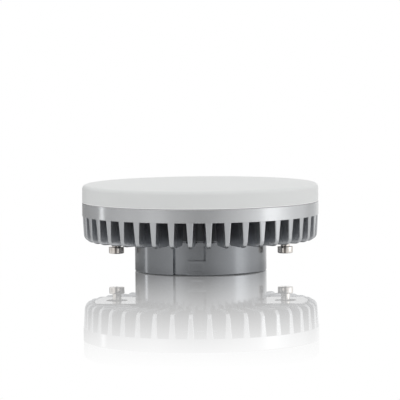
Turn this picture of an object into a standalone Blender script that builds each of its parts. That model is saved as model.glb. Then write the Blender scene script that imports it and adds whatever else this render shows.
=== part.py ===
"""LED disc lamp with a two-pin GX53 cap, finned cast body and opal cover.

The lamp stands on the end of its boss: the origin is the middle of that end face, +Z
runs up the lamp's axis to the cover, and the two pins lie on the X axis. The front of
the lamp is its -Y side. Sizes are in metres.
"""

import math

import bmesh
import bpy
from mathutils import Matrix, Vector

# Fit between pieces
SEAT_GAP = 0.0003

# Cap: pins, boss and seat
PIN_SPACING = 0.053
PIN_SHANK_RADIUS = 0.00142
PIN_HEAD_RADIUS = 0.0024
PIN_HEAD_HEIGHT = 0.0021
PIN_HEAD_EDGE = 0.0003
PIN_REACH = 0.0022
PIN_TAIL_RADIUS = 0.0011
PIN_RIVET_RADIUS = 0.0018
PIN_RIVET_HEIGHT = 0.0006
PIN_DISH_RADIUS = 0.0034
PIN_DISH_DEPTH = 0.0004

BOSS_RADIUS = 0.0206
BOSS_LENGTH = 0.00955
BOSS_EDGE = 0.0008
BOSS_WALL = 0.0022
BOSS_FLOOR = 0.0018
BOSS_FOOT_WIDTH = 0.0030
BOSS_DISH_DEPTH = 0.0003
BOSS_LIP_HEIGHT = 0.0008
BOSS_GROOVE_HEIGHT = 0.0005
BOSS_GROOVE_DEPTH = 0.0005
BOSS_NECK_STEP = 0.0003

# L-shaped slots of the bayonet, as angles from the front of the boss
SLOT_COUNT = 2
SLOT_START_ANGLE = -19.9
SLOT_ENTRY_ANGLE = 12.6
SLOT_RUN_ANGLE = 14.4
SLOT_SHELF_HEIGHT = 0.00476
SLOT_TOP_BELOW_SEAT = 0.0003
SLOT_DEPTH = 0.0012
SLOT_DRAFT = 0.00018
PANEL_MARGIN = 0.0006
PANEL_DEPTH = 0.00018

# Ears that carry the pins, and the covered channels from them to the boss
EAR_HALF_WIDTH = 0.0100
EAR_THICKNESS = 0.0020
EAR_INSET = 0.0035
TERMINAL_HALF_WIDTH = 0.0046
TERMINAL_WALL = 0.0012
TERMINAL_BEYOND_PIN = 0.0046
TERMINAL_CORNER = 0.0020
CUP_RIM_STEP = 0.0002
RELIEF = 0.0002

# Pillars for the assembly screws
PILLAR_COUNT = 3
PILLAR_RADIUS = 0.0026
PILLAR_OVERLAP = 0.0004
PILLAR_FIRST_ANGLE = 90.0

# Heat sink
RIM_RADIUS = 0.0370
RIM_BAND_HEIGHT = 0.0041
RIM_WALL = 0.0025
RIM_EDGE = 0.0003
PLATE_THICKNESS = 0.00145
SNAP_GROOVE_DEPTH = 0.0004
SNAP_GROOVE_HEIGHT = 0.0009
FIN_COUNT = 40
FIN_HEIGHT = 0.00795
FIN_ROOT_THICKNESS = 0.00215
FIN_TIP_THICKNESS = 0.0011
FIN_SETBACK = 0.0002
FIN_SLOPE = 0.00045
FIN_CORNER = 0.0020
FIN_INNER_CORNER = 0.0008
FIN_CHANNEL = 0.0044
FIN_PHASE_ANGLE = -3.2

# Cover
COVER_HEIGHT = 0.0055
COVER_SETBACK = 0.0002
COVER_DRAFT = 0.0002
COVER_EDGE = 0.0014
COVER_CROWN = 0.0003
COVER_WALL = 0.0016
SKIRT_DEPTH = 0.0016
SKIRT_WALL = 0.0012
SNAP_BEAD = 0.0003

# LED board stack
PAD_THICKNESS = 0.0004
LED_BOARD_THICKNESS = 0.0014
LED_BOARD_MARGIN = 0.0008
PAD_MARGIN = 0.0010
LED_SIZE = (0.0030, 0.0028, 0.0008)
LED_WINDOW_RADIUS = 0.0011
LED_WINDOW_DEPTH = 0.00015
LED_OUTER_COUNT = 12
LED_OUTER_RADIUS = 0.0250
LED_INNER_COUNT = 4
LED_INNER_RADIUS = 0.0095
LED_INNER_FIRST_ANGLE = 45.0

# Assembly screws
SCREW_RADIUS = 0.00125
SCREW_HEAD_RADIUS = 0.0023
SCREW_HEAD_HEIGHT = 0.0017
SCREW_ENGAGEMENT = 0.0070
SCREW_POINT = 0.0010
CROSS_ARM = 0.0014
CROSS_WIDTH = 0.0006
CROSS_DEPTH = 0.0009

# Insulating sheet and wiring
SHEET_THICKNESS = 0.0004
TAG_THICKNESS = 0.0005
TAG_RADIUS = 0.0021
TAG_HALF_WIDTH = 0.0010
TAG_LENGTH = 0.0042
WIRE_RADIUS = 0.00065
WIRE_HOLE_RADIUS = 0.0024
WIRE_HOLE_INSET = 0.0072
OUTPUT_WIRE_SPACING = 0.0019
LINE_WIRE_LANDING = 0.0030

# Driver board and its components. They are drawn for a cup of this radius, with this
# height between the board and the sheet, and go with the cup's own radius and height.
DRIVER_LAYOUT_RADIUS = 0.0184
DRIVER_LAYOUT_HEIGHT = 0.00945
DRIVER_BOARD_STANDOFF = 0.0028
DRIVER_BOARD_THICKNESS = 0.0016
DRIVER_LEDGE_WIDTH = 0.0010
BULK_CAPACITOR_RADIUS = 0.0040
BULK_CAPACITOR_HEIGHT = 0.0086
BULK_CAPACITOR_AT = (-0.0072, 0.0092)
OUTPUT_CAPACITOR_RADIUS = 0.00315
OUTPUT_CAPACITOR_HEIGHT = 0.0084
OUTPUT_CAPACITOR_AT = (0.0086, 0.0094)
FILTER_CAPACITOR_SIZE = (0.0040, 0.0080, 0.0075)
FILTER_CAPACITOR_AT = (-0.0112, -0.0006)
INDUCTOR_RADIUS = 0.0031
INDUCTOR_HEIGHT = 0.0070
INDUCTOR_AT = (-0.0056, -0.0114)
CORE_SIZE = (0.0112, 0.0052, 0.0084)
CORE_LEG = 0.0026
CORE_YOKE = 0.0018
CORE_AT = (0.0008, -0.0008)
WINDING_OVERHANG = 0.0024
FUSE_RADIUS = 0.0016
FUSE_LENGTH = 0.0062
FUSE_AT = (0.0008, 0.0092)
VARISTOR_RADIUS = 0.0034
VARISTOR_THICKNESS = 0.0026
VARISTOR_LEG = 0.0010
VARISTOR_AT = (0.0040, -0.0122)
RECTIFIER_SIZE = (0.0047, 0.0039, 0.0020)
RECTIFIER_AT = (-0.0070, -0.0060)
CHIP_SIZE = (0.0049, 0.0039, 0.0015)
CHIP_AT = (0.0050, -0.0050)
DIODE_SIZE = (0.0043, 0.0026, 0.0019)
DIODE_AT = (0.0040, 0.0080)
PACKAGE_LEAD_WIDTH = 0.0005
PACKAGE_LEAD_REACH = 0.0008
PACKAGE_LEAD_THICKNESS = 0.0003

# Facets
RIM_STEPS = 80
BOSS_STEPS = 64
PIN_STEPS = 16
SMALL_STEPS = 12
ARC_STEPS = 4

# Heights that follow from the sizes above, from the boss's end face upwards
SEAT_Z = BOSS_LENGTH
PIN_AXIS = PIN_SPACING / 2
PLATE_BOTTOM_Z = SEAT_Z + FIN_HEIGHT
PLATE_TOP_Z = PLATE_BOTTOM_Z + PLATE_THICKNESS
RIM_TOP_Z = PLATE_BOTTOM_Z + RIM_BAND_HEIGHT
COVER_BOTTOM_Z = RIM_TOP_Z + SEAT_GAP
SHEET_TOP_Z = PLATE_BOTTOM_Z - SEAT_GAP
SHEET_BOTTOM_Z = SHEET_TOP_Z - SHEET_THICKNESS
CUP_TOP_Z = SHEET_BOTTOM_Z - SEAT_GAP
CHANNEL_TOP_Z = CUP_TOP_Z - CUP_RIM_STEP
EAR_TOP_Z = SEAT_Z + EAR_THICKNESS
PAD_BOTTOM_Z = PLATE_TOP_Z + SEAT_GAP
PAD_TOP_Z = PAD_BOTTOM_Z + PAD_THICKNESS
LED_BOARD_BOTTOM_Z = PAD_TOP_Z + SEAT_GAP
LED_BOARD_TOP_Z = LED_BOARD_BOTTOM_Z + LED_BOARD_THICKNESS
DRIVER_LEDGE_Z = BOSS_FLOOR + DRIVER_BOARD_STANDOFF
DRIVER_BOARD_BOTTOM_Z = DRIVER_LEDGE_Z + SEAT_GAP
DRIVER_BOARD_TOP_Z = DRIVER_BOARD_BOTTOM_Z + DRIVER_BOARD_THICKNESS
COMPONENT_Z = DRIVER_BOARD_TOP_Z + SEAT_GAP
HEIGHT_SCALE = (SHEET_BOTTOM_Z - COMPONENT_Z) / DRIVER_LAYOUT_HEIGHT

# Radii that follow from the sizes above
BOSS_DISH_RADIUS = BOSS_RADIUS - BOSS_EDGE - BOSS_FOOT_WIDTH
CUP_RADIUS = BOSS_RADIUS - BOSS_WALL
LAYOUT_SCALE = CUP_RADIUS / DRIVER_LAYOUT_RADIUS
WIRE_HOLE_AT = CUP_RADIUS - WIRE_HOLE_INSET
PILLAR_AXIS = CUP_RADIUS - PILLAR_RADIUS + PILLAR_OVERLAP
RIM_INNER_RADIUS = RIM_RADIUS - RIM_WALL
FIN_INNER_RADIUS = BOSS_RADIUS + FIN_CHANNEL
EAR_END_RADIUS = RIM_RADIUS - EAR_INSET
TERMINAL_HALF_LENGTH = PIN_AXIS + TERMINAL_BEYOND_PIN
SKIRT_RADIUS = RIM_INNER_RADIUS - SEAT_GAP
LED_BOARD_RADIUS = SKIRT_RADIUS - SKIRT_WALL - LED_BOARD_MARGIN

# How far a cutter passes through the face that it opens, and what counts as one point
OVERRUN = 0.001
WELD_DISTANCE = 0.000002


# Scene, collections and finishes

for leftover in list(bpy.data.objects):
    bpy.data.objects.remove(leftover, do_unlink=True)

lamp = bpy.data.collections.new("led_disc_lamp")
helpers = bpy.data.collections.new("cutters_and_blanks")
bpy.context.scene.collection.children.link(lamp)
bpy.context.scene.collection.children.link(helpers)


def finish(name, colour, roughness, metallic=0.0):
    """A plain Principled material."""
    material = bpy.data.materials.new(name)
    material.use_nodes = True
    shader = material.node_tree.nodes["Principled BSDF"]
    shader.inputs["Base Color"].default_value = (*colour, 1.0)
    shader.inputs["Roughness"].default_value = roughness
    shader.inputs["Metallic"].default_value = metallic
    material.diffuse_color = (*colour, 1.0)
    return material


OPAL = finish("opal_polycarbonate", (0.82, 0.84, 0.84), 0.35)
CASTING = finish("silver_lacquered_casting", (0.48, 0.50, 0.51), 0.40, 0.6)
BASE_PLASTIC = finish("grey_base_plastic", (0.27, 0.28, 0.29), 0.35)
NICKEL = finish("nickel_plated_brass", (0.72, 0.68, 0.62), 0.18, 1.0)
BRASS = finish("tinned_brass", (0.75, 0.68, 0.48), 0.35, 1.0)
STEEL = finish("zinc_plated_steel", (0.60, 0.60, 0.60), 0.30, 1.0)
WHITE_BOARD = finish("white_board_lacquer", (0.85, 0.85, 0.83), 0.45)
GREEN_BOARD = finish("green_board_lacquer", (0.05, 0.22, 0.10), 0.40)
PAD_GREY = finish("grey_silicone_pad", (0.35, 0.37, 0.40), 0.80)
LED_CERAMIC = finish("led_package", (0.86, 0.80, 0.45), 0.50)
FILM = finish("clear_polyester_film", (0.75, 0.78, 0.80), 0.30)
SLEEVE = finish("capacitor_sleeve", (0.03, 0.04, 0.07), 0.35)
BOX_YELLOW = finish("capacitor_box_yellow", (0.80, 0.60, 0.10), 0.45)
FERRITE = finish("ferrite", (0.06, 0.06, 0.065), 0.60)
TAPE_YELLOW = finish("winding_tape_yellow", (0.85, 0.70, 0.15), 0.45)
COPPER = finish("enamelled_copper", (0.65, 0.28, 0.12), 0.35, 0.9)
EPOXY = finish("black_epoxy", (0.03, 0.03, 0.03), 0.45)
VARISTOR_BLUE = finish("varistor_blue", (0.05, 0.15, 0.45), 0.40)
FUSE_GREEN = finish("resistor_green", (0.25, 0.40, 0.30), 0.45)
WIRE_WHITE = finish("wire_white", (0.80, 0.80, 0.78), 0.50)
WIRE_BROWN = finish("wire_brown", (0.20, 0.09, 0.04), 0.50)
WIRE_RED = finish("wire_red", (0.55, 0.04, 0.03), 0.50)
WIRE_BLACK = finish("wire_black", (0.03, 0.03, 0.03), 0.50)


# Making shapes


def add(name, data, material=None):
    """A new object: a finished piece where it has a material, a helper otherwise."""
    thing = bpy.data.objects.new(name, data)
    if material is None:
        helpers.objects.link(thing)
        thing.hide_render = True
        thing.display_type = "WIRE"
    else:
        lamp.objects.link(thing)
        data.materials.append(material)
    return thing


def arc(centre, radius, start, end, steps=ARC_STEPS):
    """Points on an arc in a plane, both ends included, with angles in degrees."""
    points = []
    for step in range(steps + 1):
        angle = math.radians(start + (end - start) * step / steps)
        points.append(
            (centre[0] + radius * math.cos(angle), centre[1] + radius * math.sin(angle))
        )
    return points


def polar(radius, degrees):
    angle = math.radians(degrees)
    return radius * math.cos(angle), radius * math.sin(angle)


def turned(name, profile, steps, material=None):
    """A solid of revolution about Z. The profile's (radius, height) points run down its
    outer side, and a profile off the axis closes on itself to make a ring."""
    mesh = bpy.data.meshes.new(name)
    count = len(profile)
    on_axis = profile[0][0] == 0.0 and profile[-1][0] == 0.0
    edges = [(i, i + 1) for i in range(count - 1)]
    if not on_axis:
        edges.append((count - 1, 0))
    mesh.from_pydata([(radius, 0.0, height) for radius, height in profile], edges, [])
    piece = add(name, mesh, material)
    screw = piece.modifiers.new("Turn", "SCREW")
    screw.steps = steps
    screw.render_steps = steps
    screw.use_merge_vertices = True
    screw.merge_threshold = 0.00001
    screw.use_smooth_shade = True
    return piece


def solid_mesh(thing):
    """The object's shape with its modifiers applied, as a mesh of its own."""
    bpy.context.view_layer.update()
    graph = bpy.context.evaluated_depsgraph_get()
    mesh = bpy.data.meshes.new_from_object(thing.evaluated_get(graph))
    shape = bmesh.new()
    shape.from_mesh(mesh)
    bmesh.ops.remove_doubles(shape, verts=shape.verts, dist=0.000001)
    shape.to_mesh(mesh)
    shape.free()
    return mesh


def baked(thing):
    """Replaces the object's modifiers, or its curve, by the mesh that they make."""
    mesh = solid_mesh(thing)
    name = thing.name
    place = thing.matrix_world.copy()
    home = thing.users_collection[0]
    hidden = thing.hide_render
    bpy.data.objects.remove(thing, do_unlink=True)
    solid = bpy.data.objects.new(name, mesh)
    home.objects.link(solid)
    solid.matrix_world = place
    solid.hide_render = hidden
    if hidden:
        solid.display_type = "WIRE"
    return solid


def prism(name, outline, bottom, top, material=None):
    """A flat outline in plan, extruded from one height to another."""
    curve = bpy.data.curves.new(name, "CURVE")
    curve.dimensions = "2D"
    curve.fill_mode = "BOTH"
    curve.extrude = (top - bottom) / 2
    spline = curve.splines.new("POLY")
    spline.points.add(len(outline) - 1)
    for point, (x, y) in zip(spline.points, outline):
        point.co = (x, y, 0.0, 1.0)
    spline.use_cyclic_u = True
    piece = add(name, curve, material)
    piece.location.z = (top + bottom) / 2
    solid = baked(piece)
    solid.data.transform(solid.matrix_world)
    solid.matrix_world = Matrix.Identity(4)
    return solid


def block(name, size, centre, material=None, edge=0.0):
    """A box by its full size and the middle of its underside, with rounded edges."""
    shape = bmesh.new()
    bmesh.ops.create_cube(shape, size=1.0)
    bmesh.ops.scale(shape, vec=size, verts=shape.verts)
    bmesh.ops.translate(
        shape, vec=(centre[0], centre[1], centre[2] + size[2] / 2), verts=shape.verts
    )
    mesh = bpy.data.meshes.new(name)
    shape.to_mesh(mesh)
    shape.free()
    piece = add(name, mesh, material)
    if edge:
        bevel = piece.modifiers.new("Edges", "BEVEL")
        bevel.width = edge
        bevel.segments = 1
        bevel.limit_method = "ANGLE"
    return piece


def rod(name, radius, bottom, top, at=(0.0, 0.0), steps=PIN_STEPS, material=None):
    """An upright cylinder."""
    shape = bmesh.new()
    bmesh.ops.create_cone(
        shape,
        cap_ends=True,
        segments=steps,
        radius1=radius,
        radius2=radius,
        depth=top - bottom,
        matrix=Matrix.Translation((at[0], at[1], (top + bottom) / 2)),
    )
    mesh = bpy.data.meshes.new(name)
    shape.to_mesh(mesh)
    shape.free()
    return add(name, mesh, material)


def combine(piece, tool, operation):
    """A Boolean, with points that all but coincide after it made one."""
    boolean = piece.modifiers.new(tool.name, "BOOLEAN")
    boolean.object = tool
    boolean.operation = operation
    boolean.solver = "EXACT"
    weld = piece.modifiers.new("Weld", "WELD")
    weld.merge_threshold = WELD_DISTANCE


def join(piece, *tools):
    for tool in tools:
        combine(piece, tool, "UNION")


def cut(piece, *tools):
    for tool in tools:
        combine(piece, tool, "DIFFERENCE")


def copies(name, mesh, places):
    """One helper object that holds a copy of the mesh at each place."""
    shape = bmesh.new()
    for place in places:
        placed = mesh.copy()
        placed.transform(place)
        shape.from_mesh(placed)
        bpy.data.meshes.remove(placed)
    joined = bpy.data.meshes.new(name)
    shape.to_mesh(joined)
    shape.free()
    return add(name, joined)


def spun(count, first=0.0):
    """Turns about the axis that spread this many copies evenly."""
    return [
        Matrix.Rotation(math.radians(first + 360.0 * i / count), 4, "Z")
        for i in range(count)
    ]


def smooth(piece, degrees=30.0):
    piece.data.shade_smooth()
    piece.data.set_sharp_from_angle(angle=math.radians(degrees))


def pillar_places():
    return [
        polar(PILLAR_AXIS, PILLAR_FIRST_ANGLE + 360.0 * i / PILLAR_COUNT)
        for i in range(PILLAR_COUNT)
    ]


def rounded_rectangle(half_length, half_width, corner):
    """Plan outline of a rectangle centred on the axis."""
    outline = []
    for right, up, start in ((1, 1, 0), (-1, 1, 90), (-1, -1, 180), (1, -1, 270)):
        centre = (right * (half_length - corner), up * (half_width - corner))
        outline += arc(centre, corner, start, start + 90)
    return outline


def ear_outline(grow=0.0):
    """Plan outline of both ears in one: straight sides, ends round about the axis."""
    half_width = EAR_HALF_WIDTH + grow
    radius = EAR_END_RADIUS + grow
    reach = math.degrees(math.asin(half_width / radius))
    centre = (0.0, 0.0)
    return arc(centre, radius, -reach, reach, 12) + arc(
        centre, radius, 180 - reach, 180 + reach, 12
    )


def terminal_outline(grow=0.0):
    return rounded_rectangle(
        TERMINAL_HALF_LENGTH + grow, TERMINAL_HALF_WIDTH + grow, TERMINAL_CORNER + grow
    )


# Base: boss, ears, terminal channels, slots and pillars, one plastic moulding


def boss_blank():
    """The boss as a full solid, up to the sheet under the metal plate."""
    lip_z = SEAT_Z + BOSS_LIP_HEIGHT
    groove_z = lip_z + BOSS_GROOVE_HEIGHT
    neck = BOSS_RADIUS - BOSS_NECK_STEP
    edge_centre = (BOSS_RADIUS - BOSS_EDGE, BOSS_EDGE)
    profile = [
        (0.0, CUP_TOP_Z),
        (neck, CUP_TOP_Z),
        (neck, groove_z),
        (BOSS_RADIUS - BOSS_GROOVE_DEPTH, groove_z),
        (BOSS_RADIUS - BOSS_GROOVE_DEPTH, lip_z),
        (BOSS_RADIUS, lip_z),
        *arc(edge_centre, BOSS_EDGE, 0, -90),
        (BOSS_DISH_RADIUS, 0.0),
        (BOSS_DISH_RADIUS - BOSS_DISH_DEPTH, BOSS_DISH_DEPTH),
        (0.0, BOSS_DISH_DEPTH),
    ]
    return turned("base_cap", profile, BOSS_STEPS, BASE_PLASTIC)


def cup_cutter():
    """The room for the driver, with the ledge that its board rests on."""
    profile = [
        (0.0, CUP_TOP_Z + OVERRUN),
        (CUP_RADIUS, CUP_TOP_Z + OVERRUN),
        (CUP_RADIUS, DRIVER_LEDGE_Z),
        (CUP_RADIUS - DRIVER_LEDGE_WIDTH, DRIVER_LEDGE_Z),
        (CUP_RADIUS - DRIVER_LEDGE_WIDTH, BOSS_FLOOR),
        (0.0, BOSS_FLOOR),
    ]
    return turned("cup_cutter", profile, BOSS_STEPS)


def slot_cutter():
    """One L-shaped slot. A grid in angle and height loses the corner that becomes the
    lug, and is then thickened inwards, with draft on every wall."""
    entry_steps, run_steps = 3, 4
    shelf = SLOT_SHELF_HEIGHT
    heights = [-OVERRUN, shelf, SEAT_Z - SLOT_TOP_BELOW_SEAT]
    corner = SLOT_START_ANGLE + SLOT_ENTRY_ANGLE
    angles = [
        SLOT_START_ANGLE + SLOT_ENTRY_ANGLE * i / entry_steps for i in range(entry_steps)
    ] + [corner + SLOT_RUN_ANGLE * i / run_steps for i in range(run_steps + 1)]
    draft_sides = {0: 1.0, entry_steps: -1.0, entry_steps + run_steps: -1.0}

    def place(column, row, radius):
        narrowed = SLOT_DRAFT * (BOSS_RADIUS - radius) / SLOT_DEPTH
        turn = math.degrees(narrowed / BOSS_RADIUS)
        angle = math.radians(angles[column] + turn * draft_sides.get(column, 0.0))
        height = heights[row] + narrowed * (0.0, 1.0, -1.0)[row]
        return Vector((radius * math.sin(angle), -radius * math.cos(angle), height))

    columns = entry_steps + run_steps
    outer, inner = BOSS_RADIUS + OVERRUN, BOSS_RADIUS - SLOT_DEPTH
    shape = bmesh.new()
    bmesh.ops.create_grid(shape, x_segments=columns, y_segments=2, size=1.0)
    cells = {}
    for vertex in shape.verts:
        column = round((vertex.co.x + 1.0) / 2.0 * columns)
        row = round(vertex.co.y + 1.0)
        cells[vertex] = (column, row)
    lug = [
        face
        for face in shape.faces
        if min(cells[v][0] for v in face.verts) >= entry_steps
        and min(cells[v][1] for v in face.verts) == 0
    ]
    bmesh.ops.delete(shape, geom=lug, context="FACES")
    for vertex in shape.verts:
        vertex.co = place(*cells[vertex], outer)
    front = list(shape.verts)
    grown = bmesh.ops.extrude_face_region(shape, geom=shape.faces[:], use_keep_orig=True)
    back = [item for item in grown["geom"] if isinstance(item, bmesh.types.BMVert)]
    for vertex in back:
        twin = min(front, key=lambda other: (other.co - vertex.co).length)
        vertex.co = place(*cells[twin], inner)
    bmesh.ops.recalc_face_normals(shape, faces=shape.faces[:])
    mesh = bpy.data.meshes.new("slot")
    shape.to_mesh(mesh)
    shape.free()
    return mesh


def panel_cutter():
    """The shallow panel moulded into the lug beside the slot's entry."""
    start = SLOT_START_ANGLE + SLOT_ENTRY_ANGLE
    margin = math.degrees(PANEL_MARGIN / BOSS_RADIUS)
    low, high = start + margin, start + SLOT_RUN_ANGLE - margin
    bottom = BOSS_EDGE
    top = SLOT_SHELF_HEIGHT - PANEL_MARGIN
    shape = bmesh.new()
    corners = [
        (BOSS_RADIUS - PANEL_DEPTH, bottom),
        (BOSS_RADIUS + OVERRUN, bottom),
        (BOSS_RADIUS + OVERRUN, top),
        (BOSS_RADIUS - PANEL_DEPTH, top),
    ]
    turn = Matrix.Rotation(math.radians(low - 90.0), 3, "Z")
    verts = [shape.verts.new(turn @ Vector((r, 0.0, z))) for r, z in corners]
    section = shape.faces.new(verts)
    bmesh.ops.spin(
        shape,
        geom=[section, *section.edges, *verts],
        angle=math.radians(high - low),
        steps=4,
        axis=(0.0, 0.0, 1.0),
        cent=(0.0, 0.0, 0.0),
    )
    bmesh.ops.recalc_face_normals(shape, faces=shape.faces[:])
    mesh = bpy.data.meshes.new("panel")
    shape.to_mesh(mesh)
    shape.free()
    return mesh


def pillar_mesh():
    """A pillar on the cup's floor, with the pilot hole for its screw."""
    pillar = rod("pillar", PILLAR_RADIUS, BOSS_FLOOR - OVERRUN / 2, CHANNEL_TOP_Z)
    pilot = rod(
        "pilot",
        SCREW_RADIUS + SEAT_GAP,
        CUP_TOP_Z - SCREW_ENGAGEMENT - SCREW_POINT,
        CUP_TOP_Z + OVERRUN,
        steps=SMALL_STEPS,
    )
    cut(pillar, pilot)
    return solid_mesh(pillar)


def pin_seat_cutter():
    """The hole for a pin's shank, with the shallow dish round it on the seat."""
    hole = PIN_SHANK_RADIUS + SEAT_GAP
    profile = [
        (0.0, EAR_TOP_Z + OVERRUN),
        (hole, EAR_TOP_Z + OVERRUN),
        (hole, SEAT_Z + PIN_DISH_DEPTH),
        (PIN_DISH_RADIUS, SEAT_Z + PIN_DISH_DEPTH),
        (PIN_DISH_RADIUS, SEAT_Z - OVERRUN),
        (0.0, SEAT_Z - OVERRUN),
    ]
    return solid_mesh(turned("pin_seat", profile, PIN_STEPS))


def base_cap():
    base = boss_blank()
    ears = prism("ear_blank", ear_outline(), SEAT_Z, EAR_TOP_Z)
    channels = prism(
        "terminal_blank", terminal_outline(), EAR_TOP_Z - OVERRUN, CHANNEL_TOP_Z
    )
    join(base, ears, channels)
    hollow = terminal_outline(-TERMINAL_WALL)
    cut(
        base,
        cup_cutter(),
        prism("terminal_cutter", hollow, EAR_TOP_Z, CUP_TOP_Z + OVERRUN),
    )
    places = [Matrix.Translation((x, y, 0.0)) for x, y in pillar_places()]
    join(base, copies("pillars", pillar_mesh(), places))
    sides = [Matrix.Translation((side * PIN_AXIS, 0.0, 0.0)) for side in (-1, 1)]
    cut(base, copies("pin_seats", pin_seat_cutter(), sides))
    cut(
        base,
        copies("slots", slot_cutter(), spun(SLOT_COUNT)),
        copies("panels", panel_cutter(), spun(SLOT_COUNT)),
    )
    smooth(base)
    return base


# Heat sink: rim band, plate and fins, one casting


def fin_mesh():
    """One fin on the +X side. Its outline lies in the plane of the axis, and its
    thickness falls from root to tip as a casting's draft asks."""
    root_z = PLATE_BOTTOM_Z + PLATE_THICKNESS / 2
    outer_top = RIM_RADIUS - FIN_SETBACK
    outer_bottom = outer_top - FIN_SLOPE
    outer_centre = (outer_bottom - FIN_CORNER, SEAT_Z + FIN_CORNER)
    inner_centre = (FIN_INNER_RADIUS + FIN_INNER_CORNER, SEAT_Z + FIN_INNER_CORNER)
    outline = [
        (FIN_INNER_RADIUS, root_z),
        *arc(inner_centre, FIN_INNER_CORNER, 180, 270, 1),
        *arc(outer_centre, FIN_CORNER, -90, 0, 3),
        (outer_top, PLATE_BOTTOM_Z),
        (outer_top, root_z),
    ]
    flat = prism("fin", outline, -FIN_ROOT_THICKNESS / 2, FIN_ROOT_THICKNESS / 2)
    mesh = flat.data
    mesh.transform(Matrix.Rotation(math.radians(90.0), 4, "X"))
    for vertex in mesh.vertices:
        share = min(1.0, (vertex.co.z - SEAT_Z) / FIN_HEIGHT)
        taper = (FIN_ROOT_THICKNESS - FIN_TIP_THICKNESS) * (1.0 - share)
        vertex.co.y *= (FIN_ROOT_THICKNESS - taper) / FIN_ROOT_THICKNESS
    return mesh


def heat_sink():
    groove_middle = RIM_TOP_Z - SKIRT_DEPTH + SNAP_GROOVE_HEIGHT
    groove_radius = RIM_INNER_RADIUS + SNAP_GROOVE_DEPTH
    profile = [
        (0.0, PLATE_TOP_Z),
        (RIM_INNER_RADIUS, PLATE_TOP_Z),
        (RIM_INNER_RADIUS, groove_middle - SNAP_GROOVE_HEIGHT / 2),
        (groove_radius, groove_middle),
        (RIM_INNER_RADIUS, groove_middle + SNAP_GROOVE_HEIGHT / 2),
        (RIM_INNER_RADIUS, RIM_TOP_Z),
        (RIM_RADIUS - RIM_EDGE, RIM_TOP_Z),
        (RIM_RADIUS, RIM_TOP_Z - RIM_EDGE),
        (RIM_RADIUS, PLATE_BOTTOM_Z + RIM_EDGE),
        (RIM_RADIUS - RIM_EDGE, PLATE_BOTTOM_Z),
        (FIN_INNER_RADIUS - RIM_EDGE, PLATE_BOTTOM_Z),
        (0.0, PLATE_BOTTOM_Z),
    ]
    sink = turned("heat_sink", profile, RIM_STEPS, CASTING)
    half_pitch = 180.0 / FIN_COUNT
    front = -90.0 - FIN_PHASE_ANGLE
    fins = copies("fins", fin_mesh(), spun(FIN_COUNT, front + half_pitch))
    join(sink, fins)
    ear_room = prism(
        "ear_room", ear_outline(SEAT_GAP), SEAT_Z - OVERRUN, EAR_TOP_Z + SEAT_GAP
    )
    channel_room = prism(
        "channel_room", terminal_outline(SEAT_GAP), SEAT_Z, PLATE_BOTTOM_Z + RELIEF
    )
    cut(sink, ear_room, channel_room)
    hole = rod(
        "wire_hole",
        WIRE_HOLE_RADIUS,
        PLATE_BOTTOM_Z - OVERRUN,
        PLATE_TOP_Z + OVERRUN,
        at=(WIRE_HOLE_AT, 0.0),
    )
    screw_hole = rod(
        "screw_hole",
        SCREW_RADIUS + SEAT_GAP,
        PLATE_BOTTOM_Z - OVERRUN,
        PLATE_TOP_Z + OVERRUN,
        steps=SMALL_STEPS,
    )
    places = [Matrix.Translation((x, y, 0.0)) for x, y in pillar_places()]
    cut(sink, hole, copies("screw_holes", screw_hole.data, places))
    smooth(sink)
    return sink


# Cover


def diffuser():
    side = RIM_RADIUS - COVER_SETBACK
    top_z = COVER_BOTTOM_Z + COVER_HEIGHT
    shoulder_z = top_z - COVER_CROWN
    edge_centre = (side - COVER_DRAFT - COVER_EDGE, shoulder_z - COVER_EDGE)
    inner_edge = COVER_EDGE / 2
    inner_side = side - COVER_DRAFT - COVER_WALL
    inner_shoulder_z = shoulder_z - COVER_WALL
    inner_centre = (inner_side - inner_edge, inner_shoulder_z - inner_edge)
    skirt_inner = SKIRT_RADIUS - SKIRT_WALL
    skirt_bottom = RIM_TOP_Z - SKIRT_DEPTH
    bead_z = skirt_bottom + SNAP_GROOVE_HEIGHT
    crown_half = COVER_CROWN * 3 / 4
    crown_radius = edge_centre[0] / 2
    profile = [
        (0.0, top_z),
        (crown_radius, shoulder_z + crown_half),
        *arc(edge_centre, COVER_EDGE, 90, 0),
        (side, COVER_BOTTOM_Z),
        (SKIRT_RADIUS, COVER_BOTTOM_Z),
        (SKIRT_RADIUS, bead_z + SNAP_BEAD),
        (SKIRT_RADIUS + SNAP_BEAD, bead_z),
        (SKIRT_RADIUS, bead_z - SNAP_BEAD),
        (SKIRT_RADIUS, skirt_bottom),
        (skirt_inner, skirt_bottom),
        (skirt_inner, COVER_BOTTOM_Z + COVER_WALL),
        *arc(inner_centre, inner_edge, 0, 90, 1),
        (0.0, top_z - COVER_WALL),
    ]
    return turned("diffuser", profile, RIM_STEPS, OPAL)


# LED board stack


def disc_with_holes(name, radius, bottom, top, screw_clearance, material):
    """A round sheet with its screw holes and the wire hole."""
    sheet = rod(name, radius, bottom, top, steps=BOSS_STEPS, material=material)
    pierce(sheet, bottom, top, screw_clearance)
    return sheet


def pierce(sheet, bottom, top, screw_clearance):
    hole = rod(
        sheet.name + "_screw_hole",
        SCREW_RADIUS + screw_clearance,
        bottom - OVERRUN,
        top + OVERRUN,
        steps=SMALL_STEPS,
    )
    places = [Matrix.Translation((x, y, 0.0)) for x, y in pillar_places()]
    wire_hole = rod(
        sheet.name + "_wire_hole",
        WIRE_HOLE_RADIUS,
        bottom - OVERRUN,
        top + OVERRUN,
        at=(WIRE_HOLE_AT, 0.0),
        steps=SMALL_STEPS,
    )
    cut(sheet, copies(sheet.name + "_screw_holes", hole.data, places), wire_hole)


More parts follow.
